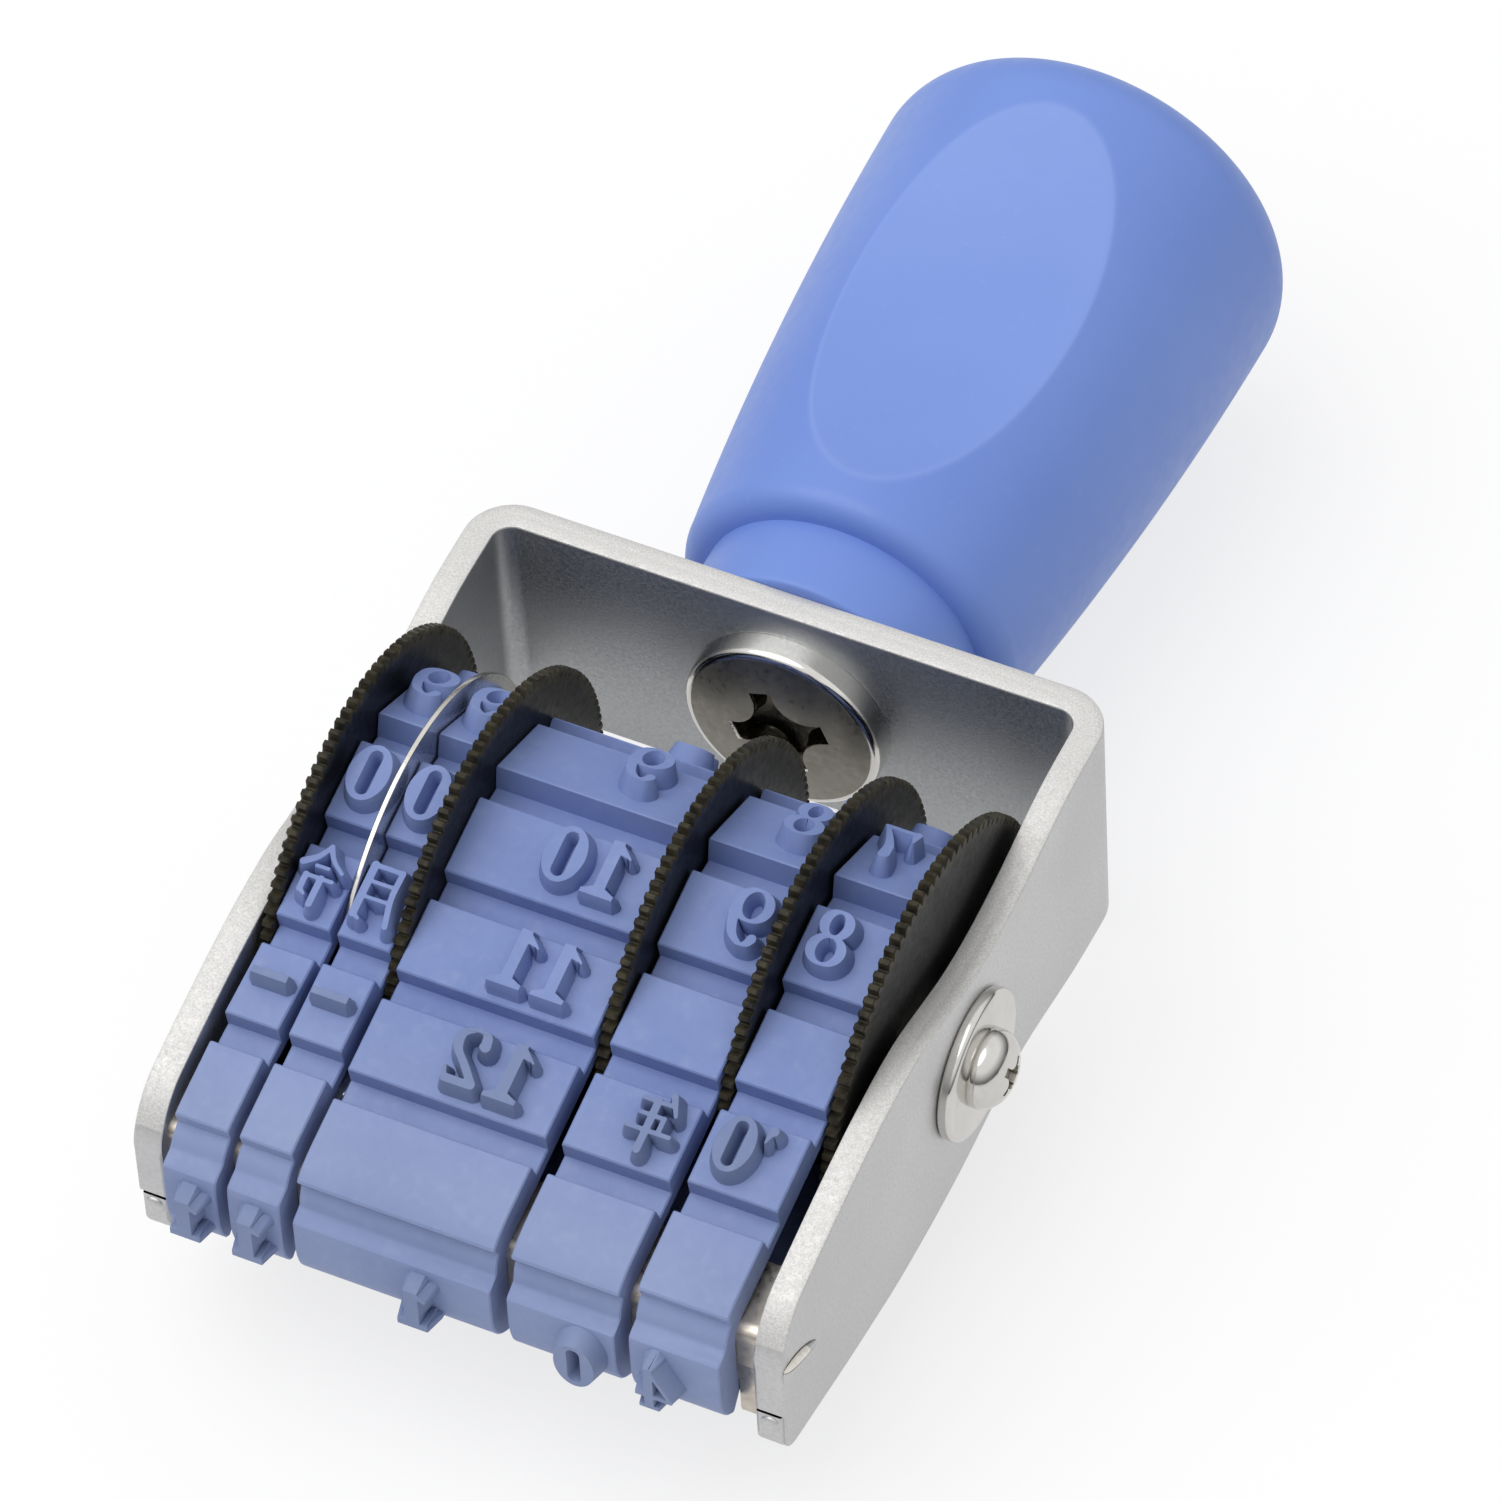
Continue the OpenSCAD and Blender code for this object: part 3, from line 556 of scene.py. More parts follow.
def add_type(build, name, place, grime):
    """Puts one figure on its pad; place maps (across, along, height) in millimetres to axle points."""
    rings, faces = shape(name)
    tops, roots = [], []
    for loop, normal, reach in rings:
        n = len(loop)
        draft = reach[:, None]
        layers = []
        for out, height in ((TYPE_IN, TYPE_RELIEF), (0.0, TYPE_RELIEF - TYPE_SOFT), (draft, 0.0),
                            (draft, -TYPE_ROOT)):
            p = (loop + normal * out) * TYPE_SIZE
            layers.append(place(*p.T, np.full(n, height)))
        start = build.grid(layers, mark=np.repeat(SHADES, n) * grime)
        tops += range(start, start + n)
        roots += range(start + 3 * n, start + 4 * n)
    for a, b, c in faces:
        build.face((tops[a], tops[b], tops[c]))
        build.face((roots[c], roots[b], roots[a]))


# Bands: a run of pads around the wheel's drum and the bridge

PADS, PAD_LEN, PAD_LOWER = 13, 4.4, 0.25
BAND_T, BASE_T, FOLD_T, FOLD_LEN = 2.2, 0.9, 1.3, 0.7
PAD_SOFT, PAD_DRAFT = 0.09, 0.12
PAD_TOP, PAD_LOW = PAD_LEN / 2, PAD_LEN / 2 + PAD_LOWER
LOOP_R, TURN_R, TURN_Y, TURN_Z = 8.35, 0.85, 23.1, 1.7
MID_T = BAND_T / 3
FAR = hypot(TURN_Y, TURN_Z)
SLOPE = atan2(TURN_Y, TURN_Z) - acos((LOOP_R - TURN_R) / FAR)
RUN = sqrt(FAR ** 2 - (LOOP_R - TURN_R) ** 2)
TURN_LEN = (TURN_R + MID_T) * (pi / 2 - SLOPE)
WRAP_LEN = (LOOP_R + MID_T) * (pi / 2 + SLOPE)
HALF = TURN_Z + TURN_LEN + RUN + WRAP_LEN
PITCH = 2 * HALF / PADS
LEAN_Y, LEAN_RUN = -13.0, 5.0
FIGURE_PITCH = 0.73 * TYPE_SIZE
PRINT_PAD, USED_PAD = 0, 2
PRINT_GRIME, USED_GRIME = 0.3, 0.5
FLAT_PADS, WRAP_PADS, WRAP_RISE, RISE = range(2, PADS - 1), range(4, 10), 0.35, 0.1


def band_at(s):
    """Inner face (y, z) and angle of the band's run at length s from the middle of the print face."""
    s = (s + HALF) % (2 * HALF) - HALF
    f = abs(s)
    if f < TURN_Z:
        a, mid = pi / 2, (-TURN_Y - TURN_R, f)
    elif f < TURN_Z + TURN_LEN:
        a = pi / 2 - (f - TURN_Z) / (TURN_R + MID_T)
        mid = (-TURN_Y - TURN_R * sin(a), TURN_Z + TURN_R * cos(a))
    elif f < TURN_Z + TURN_LEN + RUN:
        a, along = SLOPE, f - TURN_Z - TURN_LEN
        mid = (-TURN_Y - TURN_R * sin(a) + along * cos(a),
               TURN_Z + TURN_R * cos(a) + along * sin(a))
    else:
        a = SLOPE - (f - TURN_Z - TURN_LEN - RUN) / (LOOP_R + MID_T)
        mid = (-LOOP_R * sin(a), LOOP_R * cos(a))
    if s < 0:
        return np.array([mid[0], -mid[1]]), pi - a
    return np.array(mid), a


def outward(a):
    return np.array([-sin(a), cos(a)])


def eased(s, reach=1.1, count=9):
    """Inner face and outward direction of the run, eased over the bridge's corners as stiff rubber is."""
    p = np.mean([band_at(s + d)[0] for d in np.linspace(-reach, reach, count)], 0)
    ahead = band_at(s + reach + 0.01)[0] - band_at(s - reach + 0.01)[0]
    return p, outward(atan2(ahead[1], ahead[0]))


def pad_profile(k):
    """(length from the pad's middle, height) over pad k and the gap behind it."""
    before = FOLD_T if k == PRINT_PAD + 1 else BASE_T
    after = FOLD_T if k == PRINT_PAD else BASE_T
    steps = [(-PAD_LOW - PAD_DRAFT, before), (-PAD_LOW, BAND_T - PAD_SOFT)]
    steps += [(v, BAND_T) for v in np.linspace(-PAD_LOW + PAD_SOFT, PAD_TOP - PAD_SOFT, 17)]
    if k == PRINT_PAD:
        end = PAD_TOP + FOLD_LEN
        for t in np.linspace(0, 1, 10)[1:]:
            steps.append((PAD_TOP + t * FOLD_LEN, BAND_T + (FOLD_T - BAND_T) * t * t * (3 - 2 * t)))
    else:
        end = PAD_TOP + PAD_DRAFT
        steps += [(PAD_TOP, BAND_T - PAD_SOFT), (end, BASE_T)]
    return steps + [(v, after) for v in np.linspace(end, PITCH - PAD_LOW - PAD_DRAFT, 8)[1:-1]]


def band_piece(name, x_from, width, back, texts, shift, lean=0.0):
    """One rubber band: back is how far its print pad lies behind the middle of the print face, shift
    moves the type sideways, and lean slides the band's print end sideways."""
    build = Build()

    def left_at(y):
        return x_from + lean * min(max((LEAN_Y - y) / LEAN_RUN, 0.0), 1.0)

    rows = []
    for k in range(PADS):
        centre = k * PITCH - back
        p0, n0 = eased(centre)
        for ds, d in pad_profile(k):
            p, n = eased(centre + ds)
            if k in FLAT_PADS and -PAD_LOW <= ds <= PAD_TOP:
                d += (p0 - p) @ n0 / (n @ n0) + BAND_T / (n @ n0) - BAND_T
            x0 = left_at(p[0])
            x1 = x0 + width
            section = [(x0, 0.0), (x0, d - PAD_SOFT), (x0 + PAD_SOFT, d), (x1 - PAD_SOFT, d),
                       (x1, d - PAD_SOFT), (x1, 0.0)]
            rows.append([(x, *(p + h * n)) for x, h in section])
    build.grid(rows, True)
    for k, text in enumerate(texts):
        if text is None:
            continue
        p, a = band_at(k * PITCH - back)
        n, t = outward(a), np.array([cos(a), sin(a)])
        grime = {PRINT_PAD: PRINT_GRIME, USED_PAD: USED_GRIME}.get(k, 0.0)
        rise = WRAP_RISE if k in WRAP_PADS else RISE
        middle = left_at(p[0]) + width / 2 + shift
        figures = [text] if text in GLYPHS else list(text)
        for i, figure in enumerate(figures):
            across = (i - (len(figures) - 1) / 2) * FIGURE_PITCH

            def place(gx, gy, h):
                yz = p + (BAND_T + h)[:, None] * n + (gy + rise)[:, None] * t
                return np.stack([middle - across - gx, yz[:, 0], yz[:, 1]], -1)

            add_type(build, figure, place, grime)
    build.piece(name + "_rubber", "rubber", [name + "_band"], [RUBBER], "grime", 28.0)


DAY_BACK, YEAR_BACK, LAST_BACK = 0.4, 1.2, 0.8
band_piece("day_units", -17.24, 3.32, DAY_BACK, ["worn one", None, "dash", "era", *"098765432"], 0.1, -0.2)
band_piece("day_tens", -13.42, 3.27, DAY_BACK, ["worn one", None, "dash", "month", *"098765432"], -0.01)
band_piece("month", -9.37, 12.22, YEAR_BACK, ["worn one", None, "12", "11", "10", *"98765432"], 1.7)
band_piece("year_units", 3.85, 6.6, YEAR_BACK, ["0", None, "year", None, *"987654321"], 1.3)
band_piece("year_tens", 11.35, 5.5, LAST_BACK, ["4", None, "short", None, *"87653219", None], -0.77)


# Setting wheels

WHEEL_R, WHEEL_T, WHEEL_SOFT, TEETH, TOOTH = 13.8, 0.7, 0.09, 110, 0.46
TOOTH_POINTS, TOOTH_TOP, TOOTH_FLANK = 8, 0.38, 0.42
DUST_FROM, DUST_RING = 11.6, 12.9
DUST = (0.0, 0.0, 0.0, 0.1, 1.0, 1.0, 1.0, 1.0, 0.1, 0.0, 0.0, 0.0)  # from the bore over the teeth and back
DRUM_R, DRUM_SOFT, DRUM_POINTS, BORE_R = 8.2, 0.1, 256, 2.05
DRUM_SLOTS, SLOT_SHARE, SLOT_DEEP = 8, 0.078, 1.0


def tooth_ring(inset):
    """Outline of the toothed rim: round-topped teeth with narrow gaps."""
    u = (np.arange(TEETH * TOOTH_POINTS) + 0.5) / TOOTH_POINTS
    wave = np.abs((u % 1.0) - 0.5) * 2
    drop = TOOTH * np.clip((wave - TOOTH_TOP) / TOOTH_FLANK, 0, 1)
    a = u / TEETH * 2 * pi
    r = WHEEL_R - inset - drop
    return r * np.cos(a), r * np.sin(a)


def wheel_piece(name, disc, drum_from, drum_to):
    """A toothed disc that starts at x = disc, and the slotted drum beside it that carries the band."""
    build = Build()
    place, count, soft = along_x(disc), TEETH * TOOTH_POINTS, WHEEL_SOFT
    rows = [circle(place, r, 0.0, around(count)) for r in (BORE_R, DRUM_R, DUST_FROM, DUST_RING)]
    for inset, x in ((soft, 0.0), (0.0, soft), (0.0, WHEEL_T - soft), (soft, WHEEL_T)):
        rows.append(place(*tooth_ring(inset), np.full(count, x)))
    rows += [row + [WHEEL_T, 0, 0] for row in rows[3::-1]]
    build.grid(rows, True, np.repeat(DUST, count))
    a = around(DRUM_POINTS)
    slot = SLOT_DEEP * (np.abs((a / (2 * pi) * DRUM_SLOTS + 0.5) % 1 - 0.5) < SLOT_SHARE)
    drum = ((drum_from, BORE_R), (drum_from, DRUM_R - DRUM_SOFT - slot),
            (drum_from + DRUM_SOFT, DRUM_R - slot), (drum_to, DRUM_R - slot), (drum_to, BORE_R))
    build.grid([circle(along_x(0.0), r, x, a) for x, r in drum], True)
    build.piece(name + "_toothed", "wheel", [name + "_wheel"], [WHEEL], "rim", 40.0, name + "_setting")


wheel_piece("day_units", -18.0, -17.65, -13.925)
wheel_piece("day_tens", -10.1, -13.475, -9.75)
wheel_piece("month", 3.0, -9.325, 3.35)
wheel_piece("year_units", 10.5, 3.775, 10.85)
wheel_piece("year_tens", 17.0, 11.275, 17.35)


# Handle: a turned grip with a thumb dish hollowed out of its front

HANDLE_LEN, NECK_R, NECK_LEN = 43.0, 8.75, 4.8
BORE, NECK_SOFT, UNDER_R = 3.65, 0.35, 1.5
GRIP_R0, GRIP_R, GRIP_TOP, CORNER, DOME = 10.35, 13.0, 41.0, 3.8, 40.0
DISH_FROM, DISH_TO, DISH_SAG, DISH_SOFT = 7.5, 36.4, 1.75, 0.16
CROWN_R, FRONT_Z = 4.0, 2.0  # the dish stays outside this radius and above this height
# How much lighter the thumb dish is painted, and the width of the painted highlight line along its edge
DISH_LIGHT, DISH_LIGHT_EDGE = 0.2, 0.08
GRIP_ARC = ((GRIP_TOP - NECK_LEN) ** 2 + (GRIP_R - GRIP_R0) ** 2) / (2 * (GRIP_R - GRIP_R0))


def grip_at(h):
    return GRIP_R - GRIP_ARC + sqrt(GRIP_ARC ** 2 - (GRIP_TOP - h) ** 2)


def handle_profile():
    """(radius, height over the web) from the bore around the neck and the grip to the crown."""
    ring = GRIP_R - CORNER
    mid = HANDLE_LEN - DOME
    start = mid + sqrt((DOME - CORNER) ** 2 - ring ** 2)
    lean = degrees(asin(ring / (DOME - CORNER)))
    under = NECK_LEN + UNDER_R
    p = [(BORE, 0.0)] + arc(NECK_R - NECK_SOFT, NECK_SOFT, NECK_SOFT, -90, 0, 5)
    p += [(NECK_R, h) for h in np.linspace(NECK_SOFT, NECK_LEN, 16)[1:]]
    p += arc(grip_at(under) - UNDER_R, under, UNDER_R, -88, 0, 12)
    p += [(grip_at(h), h) for h in np.linspace(under, start, 170)[1:]]
    p += arc(grip_at(start) - CORNER, start, CORNER, 0, 90 - lean, 26)[1:]
    crown = np.linspace(radians(lean), 0.004, 26)[1:]
    return p + [(DOME * sin(t), mid + DOME * cos(t)) for t in crown]


def handle_piece():
    build = Build()
    turn = np.radians(np.concatenate([np.linspace(30, 150, 241), np.linspace(150, 390, 97)[1:-1]]))
    a, b = (np.array([h, grip_at(h)]) for h in (DISH_FROM, DISH_TO))
    chord = np.linalg.norm(b - a)
    radius = (chord ** 2 / 4 + DISH_SAG ** 2) / (2 * DISH_SAG)
    way = (b - a) / chord
    centre = (a + b) / 2 + np.array([-way[1], way[0]]) * (radius - DISH_SAG)
    rows, dish_light = [], []
    for r, h in handle_profile():
        x, z = r * np.cos(turn), r * np.sin(turn)
        worn = np.zeros(len(x))
        if r > CROWN_R and abs(h - centre[0]) < radius:
            floor = centre[1] - sqrt(radius ** 2 - (h - centre[0]) ** 2)
            over, front = z - floor, z > FRONT_Z
            near = np.maximum(DISH_SOFT - np.abs(over), 0) ** 2 / (4 * DISH_SOFT)
            dished = np.clip(over / DISH_LIGHT_EDGE + 0.5, 0, 1) + np.exp(-(over / DISH_LIGHT_EDGE) ** 2)
            # worn carries painted light, not wear: lighter over the dish floor, with a painted highlight line
            # along its edge
            worn = np.where(front, DISH_LIGHT * dished, worn)
            z = np.where(front, np.minimum(z, floor) - near, z)
        rows.append(np.stack([x, np.full(len(x), WEB_Y + h), z], -1))
        dish_light.append(worn)
    build.capped(rows, dish_light)
    build.piece("handle_grip", "grip", ["handle"], [GRIP], "dish_light", 50.0)


handle_piece()


# Screws, washers and the separator

SCREW_POINTS, RECESS_LIP, RECESS_RISE, SHANK_TIP = 480, 0.05, 0.35, 0.4
RECESS_STEPS = ((0.02, 1.0), (0.35, 1.0), (0.65, 1.0), (0.86, 1.0), (0.94, 0.8), (0.985, 0.22), (1.0, 0.07))
BRIGHT, HOLLOW, FLAT = range(3)  # a screw's material slots


def cross(x, y, arm, wide, corner):
    """Signed distance to a cross recess with widely rounded inner corners."""
    y, x = np.sort(np.abs([x, y]), axis=0)
    in_arm = np.maximum(x - arm, y - wide)
    middle = wide + corner
    rounded = corner - np.hypot(x - middle, y - middle)
    return np.where((x < middle) & (y < middle), np.maximum(np.minimum(in_arm, rounded), x - arm), in_arm)


def screw_piece(name, node, place, crown, rim, recess, shank, hollow, face):
    """A screw from its face to its tip.

    crown gives the face's height over the seat, rim lists (radius, height) from the face to the seat,
    recess is (arm, half width, corner radius, depth, turn in degrees) and shank is (radius, length).
    """
    build = Build()
    arm, wide, corner, deep, turn = recess
    shank_r, shank_len = shank
    a = around(SCREW_POINTS)
    turned = a - radians(turn)
    far = np.linspace(0.05, arm * 1.3, 900)[:, None]
    outside = cross(far * np.cos(turned), far * np.sin(turned), arm, wide, corner) > 0
    reach = far[np.argmax(outside, axis=0), 0]
    rows, looks = [], []

    def ring(r, h, look):
        rows.append(circle(place, r, h, a))
        looks.append(look)

    # The recess walls take the darker recess metal (painted shade), its lip the polished nickel
    for share, sunk in RECESS_STEPS:
        r = reach * share
        depth = deep * sunk * (1 - RECESS_RISE * np.minimum(r / arm, 1.0))
        ring(r, crown(r) - depth, BRIGHT if share > 0.98 else HOLLOW)
    lip = reach + RECESS_LIP
    for t in np.linspace(0, 1, 18):
        r = lip + (rim[0][0] - lip) * t
        ring(r, crown(r), FLAT if t < 1 else BRIGHT)
    tip = [(shank_r, 0.0), (shank_r, SHANK_TIP - shank_len), (shank_r - SHANK_TIP, -shank_len)]
    for r, h in rim[1:] + tip:
        ring(r, h, BRIGHT)
    first = build.grid(rows)
    build.mats = [looks[k // SCREW_POINTS] for k in range(len(build.mats))]
    build.cap(first, SCREW_POINTS, mat=HOLLOW)
    build.cap(first + (len(rows) - 1) * SCREW_POINTS, SCREW_POINTS, True)
    build.piece(name, "nickel", [node], [NICKEL, hollow, face], crease=36.0)


SEAT_Y = 19.6
TRUSS_R, TRUSS_H, TRUSS_RISE = 5.7, 1.9, 0.35
PAN_R, PAN_H, PAN_RISE = 2.4, 0.25, 1.65
TRUSS_CROSS, TRUSS_SHANK = (3.1, 0.7, 1.9, 1.6, 21), (2.45, 13.0)
PAN_CROSS, PAN_SHANK = (1.2, 0.27, 0.6, 0.7, 31), (1.25, 7.5)
WASHER_T = 0.9


def truss_crown(r):
    return TRUSS_H + TRUSS_RISE * (1 - (r / TRUSS_R) ** 2)


def pan_crown(r):
    return PAN_H + PAN_RISE * (1 - np.minimum(r / PAN_R, 1.0) ** 2.3) ** (1 / 2.1)


TRUSS_RIM = ([(TRUSS_R, TRUSS_H)] + arc(5.72, 1.42, 0.48, 83, 0, 9) + [(6.2, 0.3)]
             + arc(5.95, 0.25, 0.25, 0, -90, 5)[1:])
PAN_RIM = ([(r, pan_crown(r)) for r in (1.8, 1.95, 2.1, 2.2, 2.28, 2.34, 2.38, 2.395)]
           + [(PAN_R, 0.22), (PAN_R, 0.1), (2.33, 0.0)])
screw_piece("handle_screw_head", "handle_screw", along_y(SEAT_Y, -1.0), truss_crown, TRUSS_RIM,
            TRUSS_CROSS, TRUSS_SHANK, SHADED_RECESS, SHADED_FACE)
for side, name in SIDES:
    screw_piece("axle_screw_head_" + name, "axle_screw_" + name, along_x(side * (HALF_W + WASHER_T), side),
                pan_crown, PAN_RIM, PAN_CROSS, PAN_SHANK, RECESS_BRIGHT, NICKEL)
    washer = ring_build(along_x(side * HALF_W, side), 1.35, 4.6, WASHER_T, 0.32, 7)
    washer.piece("rounded_washer_" + name, "nickel", ["washer_" + name], [NICKEL])

separator = ring_build(along_x(-13.83), 2.05, 12.2, 0.32, 0.07, count=256)
separator.piece("separator_plate", "steel", ["separator_disc"], [STEEL], body="separator")


# Frame: one bent strip of sheet with softened edges

SHEET, BEND_R, FOOT_Y, FOOT_FRONT, FOOT_BACK = 1.75, 3.0, -24.7, 3.1, 1.3
FRONT = np.array([(21.2, 8.1), (17.0, 8.1), (14.0, 7.95), (11.0, 7.4), (8.0, 6.74), (5.5, 6.36),
                  (2.9, 6.22), (0.5, 6.36), (-1.5, 6.74), (-3.5, 7.2), (-5.2, 7.54), (-7.0, 7.66),
                  (-10.0, 7.46), (-12.0, 7.2), (-14.0, 6.84), (-18.0, 5.9), (-21.4, 4.98), (-24.7, 4.0)])
BACK = np.array([(21.2, 8.1), (17.0, 8.14), (14.0, 8.0), (11.3, 7.63), (9.5, 7.36), (7.5, 7.14),
                 (5.6, 7.12), (3.7, 7.36), (2.0, 7.66), (-0.8, 8.12), (-3.7, 8.4), (-6.6, 8.5), (-8.1, 8.5),
                 (-11.3, 8.36), (-13.0, 8.16), (-16.5, 7.72), (-20.0, 7.16), (-24.7, 6.4)])
NOTCH_Y, NOTCH_TOP, NOTCH_LOW, BELOW_NOTCH = -24.38, -2.92, -3.16, 0.2
EDGE_OUT, EDGE_IN = 0.17, 0.12
TEAR_AT, TEAR_HALF, TEAR_DROPS = SHEET * 0.46, 0.12, (0.016, 0.012, 0.02)
TOE_LEN, TOE_PINCH = 0.55, (0.16, 0.05)


def smooth_edge(knots, y):
    """Depth of the plate's edge at y, by a smooth cubic through the knots."""
    ys, zs = knots[::-1].T
    slope = np.gradient(zs, ys)
    i = int(np.clip(np.searchsorted(ys, y) - 1, 0, len(ys) - 2))
    h = ys[i + 1] - ys[i]
    t = np.clip((y - ys[i]) / h, 0, 1)
    return ((2 * t ** 3 - 3 * t ** 2 + 1) * zs[i] + (t ** 3 - 2 * t ** 2 + t) * h * slope[i]
            + (3 * t ** 2 - 2 * t ** 3) * zs[i + 1] + (t ** 3 - t ** 2) * h * slope[i + 1])


def foot_round(y, r):
    """How far a foot corner of radius r has drawn an edge in at y."""
    low = FOOT_Y + r - y
    return r - sqrt(max(r * r - low * low, 0.0)) if low > 0 else 0.0


def plate_depths(y):
    """Front and back edge of the strip at y, rounded off at the foot."""
    return smooth_edge(FRONT, y) - foot_round(y, FOOT_FRONT), foot_round(y, FOOT_BACK) - smooth_edge(BACK, y)


def strip_stations():
    """Outer point, inward direction and edge depths along the bent strip, from the left foot to the right."""
    quarter = np.linspace(0, pi / 2, 16)
    toe = [FOOT_Y + FOOT_FRONT * (1 - cos(t)) for t in quarter]
    low = sorted(set(toe + [NOTCH_Y]))
    right = []
    for y in low + list(np.linspace(FOOT_Y + FOOT_FRONT, WEB_Y - BEND_R, 60)[1:]):
        right.append(((HALF_W, y), (-1.0, 0.0), plate_depths(y)))
    for t in quarter[1:]:
        c, s = cos(t), sin(t)
        y = WEB_Y - BEND_R + BEND_R * s
        right.append(((HALF_W - BEND_R + BEND_R * c, y), (-c, -s), plate_depths(y)))
    for x in np.linspace(HALF_W - BEND_R, 0, 10)[1:]:
        right.append(((x, WEB_Y), (0.0, -1.0), plate_depths(WEB_Y)))
    left = [((-p[0], p[1]), (-n[0], n[1]), z) for p, n, z in right[:-1]]
    return left + right[::-1]


def strip_section(front, back, pinch, low_pinch):
    """(depth into the sheet, z) around the strip's section: front edge, inner face, back edge, outer face."""
    t1 = SHEET - pinch
    out, inn = EDGE_OUT * (1 - sqrt(0.5)), EDGE_IN * (1 - sqrt(0.5))
    drop0, drop1, drop2 = TEAR_DROPS

    def edge(at, way, t0):
        steps = [(t0, EDGE_OUT), (t0 + out, out), (t0 + EDGE_OUT, 0.0), (TEAR_AT - TEAR_HALF, 0.0),
                 (TEAR_AT, drop0), (TEAR_AT + TEAR_HALF, drop1), (t1 - EDGE_IN, drop2),
                 (t1 - inn, drop2 + inn), (t1, drop2 + EDGE_IN)]
        return [(t, at - way * drop) for t, drop in steps]

    low = pinch + low_pinch
    return (edge(front, 1, pinch) + [(t1, NOTCH_TOP), (t1, NOTCH_LOW)] + edge(back, -1, low)[::-1]
            + [(low, NOTCH_LOW), (pinch, NOTCH_TOP)])


# Columns of strip_section above and below the slit in the foot
INNER_TOP, INNER_LOW, OUTER_LOW, OUTER_TOP = 9, 10, 20, 21
OUTSIDE, SHEARED, SLIT, INWARD = range(4)  # the frame's material slots


def frame_piece():
    build = Build()
    stations = strip_stations()
    last = len(stations) - 1
    rows, in_foot, in_toe = [], [], []
    for i, (p, n, (front, back)) in enumerate(stations):
        from_end = min(i, last - i)
        pinch = TOE_PINCH[from_end] if from_end < len(TOE_PINCH) else 0.0
        in_foot.append(p[1] <= NOTCH_Y + 1e-6)
        in_toe.append(p[1] < FOOT_Y + TOE_LEN)
        section = strip_section(front, back, pinch, BELOW_NOTCH if in_foot[i] else 0.0)
        rows.append([(p[0] + n[0] * d, p[1] + n[1] * d, z) for d, z in section])
    m = len(rows[0])
    first = build.add(np.array(rows).reshape(-1, 3))

    def look(i, j):
        if INNER_TOP - 1 <= j <= INNER_LOW:
            return INWARD
        return OUTSIDE if j >= OUTER_LOW - 1 or in_toe[i] and in_toe[i + 1] else SHEARED

    def at(i, j):
        return first + i * m + j % m

    def strip(i, j, k, mat):
        build.face((at(i, j), at(i, k), at(i + 1, k), at(i + 1, j)), mat)

    for i in range(last):
        foot = in_foot[i] and in_foot[i + 1]
        for j in range(m):
            if not (foot and j in (INNER_TOP, OUTER_LOW)):
                strip(i, j, j + 1, look(i, j))
        # The slit's walls take the darker recess metal: painted shade
        if foot:
            strip(i, INNER_TOP, OUTER_TOP, SLIT)
            strip(i, OUTER_LOW, INNER_LOW, SLIT)
    for i in range(1, last):
        if in_foot[i] and not (in_foot[i - 1] and in_foot[i + 1]):
            build.face([at(i, j) for j in (INNER_TOP, INNER_LOW, OUTER_LOW, OUTER_TOP)], SLIT)
    for i in (0, last):
        build.face([at(i, j) for j in [*range(INNER_LOW), OUTER_TOP]])
        build.face([at(i, j) for j in range(INNER_LOW, OUTER_TOP)])
    build.piece("bent_frame", "plate", ["frame"], [PLATE, EDGE, SHADED_RECESS, SHADED_INSIDE], crease=34.0)


frame_piece()


# The feet: the ends of the bridge, and a slit above them with its lip pressed out

TONGUE_X, TONGUE_Z, TONGUE_R, TONGUE_POINTS = HALF_W - SHEET * 0.52, -3.95, 0.62, 48
TONGUE_STEPS = ((1.0, -0.2), (1.0, 0.0), (0.9, 0.09), (0.74, 0.15), (0.54, 0.19), (0.3, 0.22), (0.08, 0.23))
SHOULDER_FRONT, SHOULDER_BACK, SHOULDER_TOP, SHOULDER_LOW = -23.96, -23.1, -0.4, -4.75
SHOULDER_SOFT, SHOULDER_CHAMFER, SHOULDER_SUNK = 0.18, 0.06, 0.1
SHOULDER_INNER = {-1.0: 17.52, 1.0: 16.95}
LIP_HALF, LIP_HIGH, LIP_Y, LIP_Z, LIP_SUNK = 2.25, 0.38, -22.4, 0.1, 0.25
LIP_SLANT, LIP_CLEAR, LIP_OFF = radians(-26.3), 0.15, 0.15
LIP_ENDS, LIP_BOW, LIP_SKEW, LIP_SPAN = 0.3, 0.3, 0.25, np.linspace(-0.995, 0.995, 41)
LIP = [(0.3, 0.0), (0.28, 0.04), (0.17, 0.05), (0.15, 0.45), (0.1, 0.8), (0.02, 0.97), (-0.1, 1.0),
       (-0.18, 0.98), (-0.3, 0.9), (-0.5, 0.68), (-0.8, 0.36), (-1.15, 0.1), (-1.5, 0.0)]
# Columns of the lip with painted shadow lines, columns with the painted highlight, and the rows that
# highlight runs over
LIP_SHADOW, LIP_LIT, LIP_LIT_ROWS = (0, 1, 6, 2 * len(LIP) - 1), range(2, 6), 26


def tongue_piece(name, side):
    """The peened end of the bridge's tongue, a low boss under the slit in a plate's foot."""
    build = Build()
    a = around(TONGUE_POINTS)
    rows = []
    for share, rise in TONGUE_STEPS:
        r = TONGUE_R * share
        rows.append(np.stack([side * (TONGUE_X + r * np.cos(a)), np.full(TONGUE_POINTS, FOOT_Y - rise),
                              TONGUE_Z + r * np.sin(a)], -1))
    build.capped(rows)
    build.piece(name, "nickel", [], [PLATE], crease=60.0)


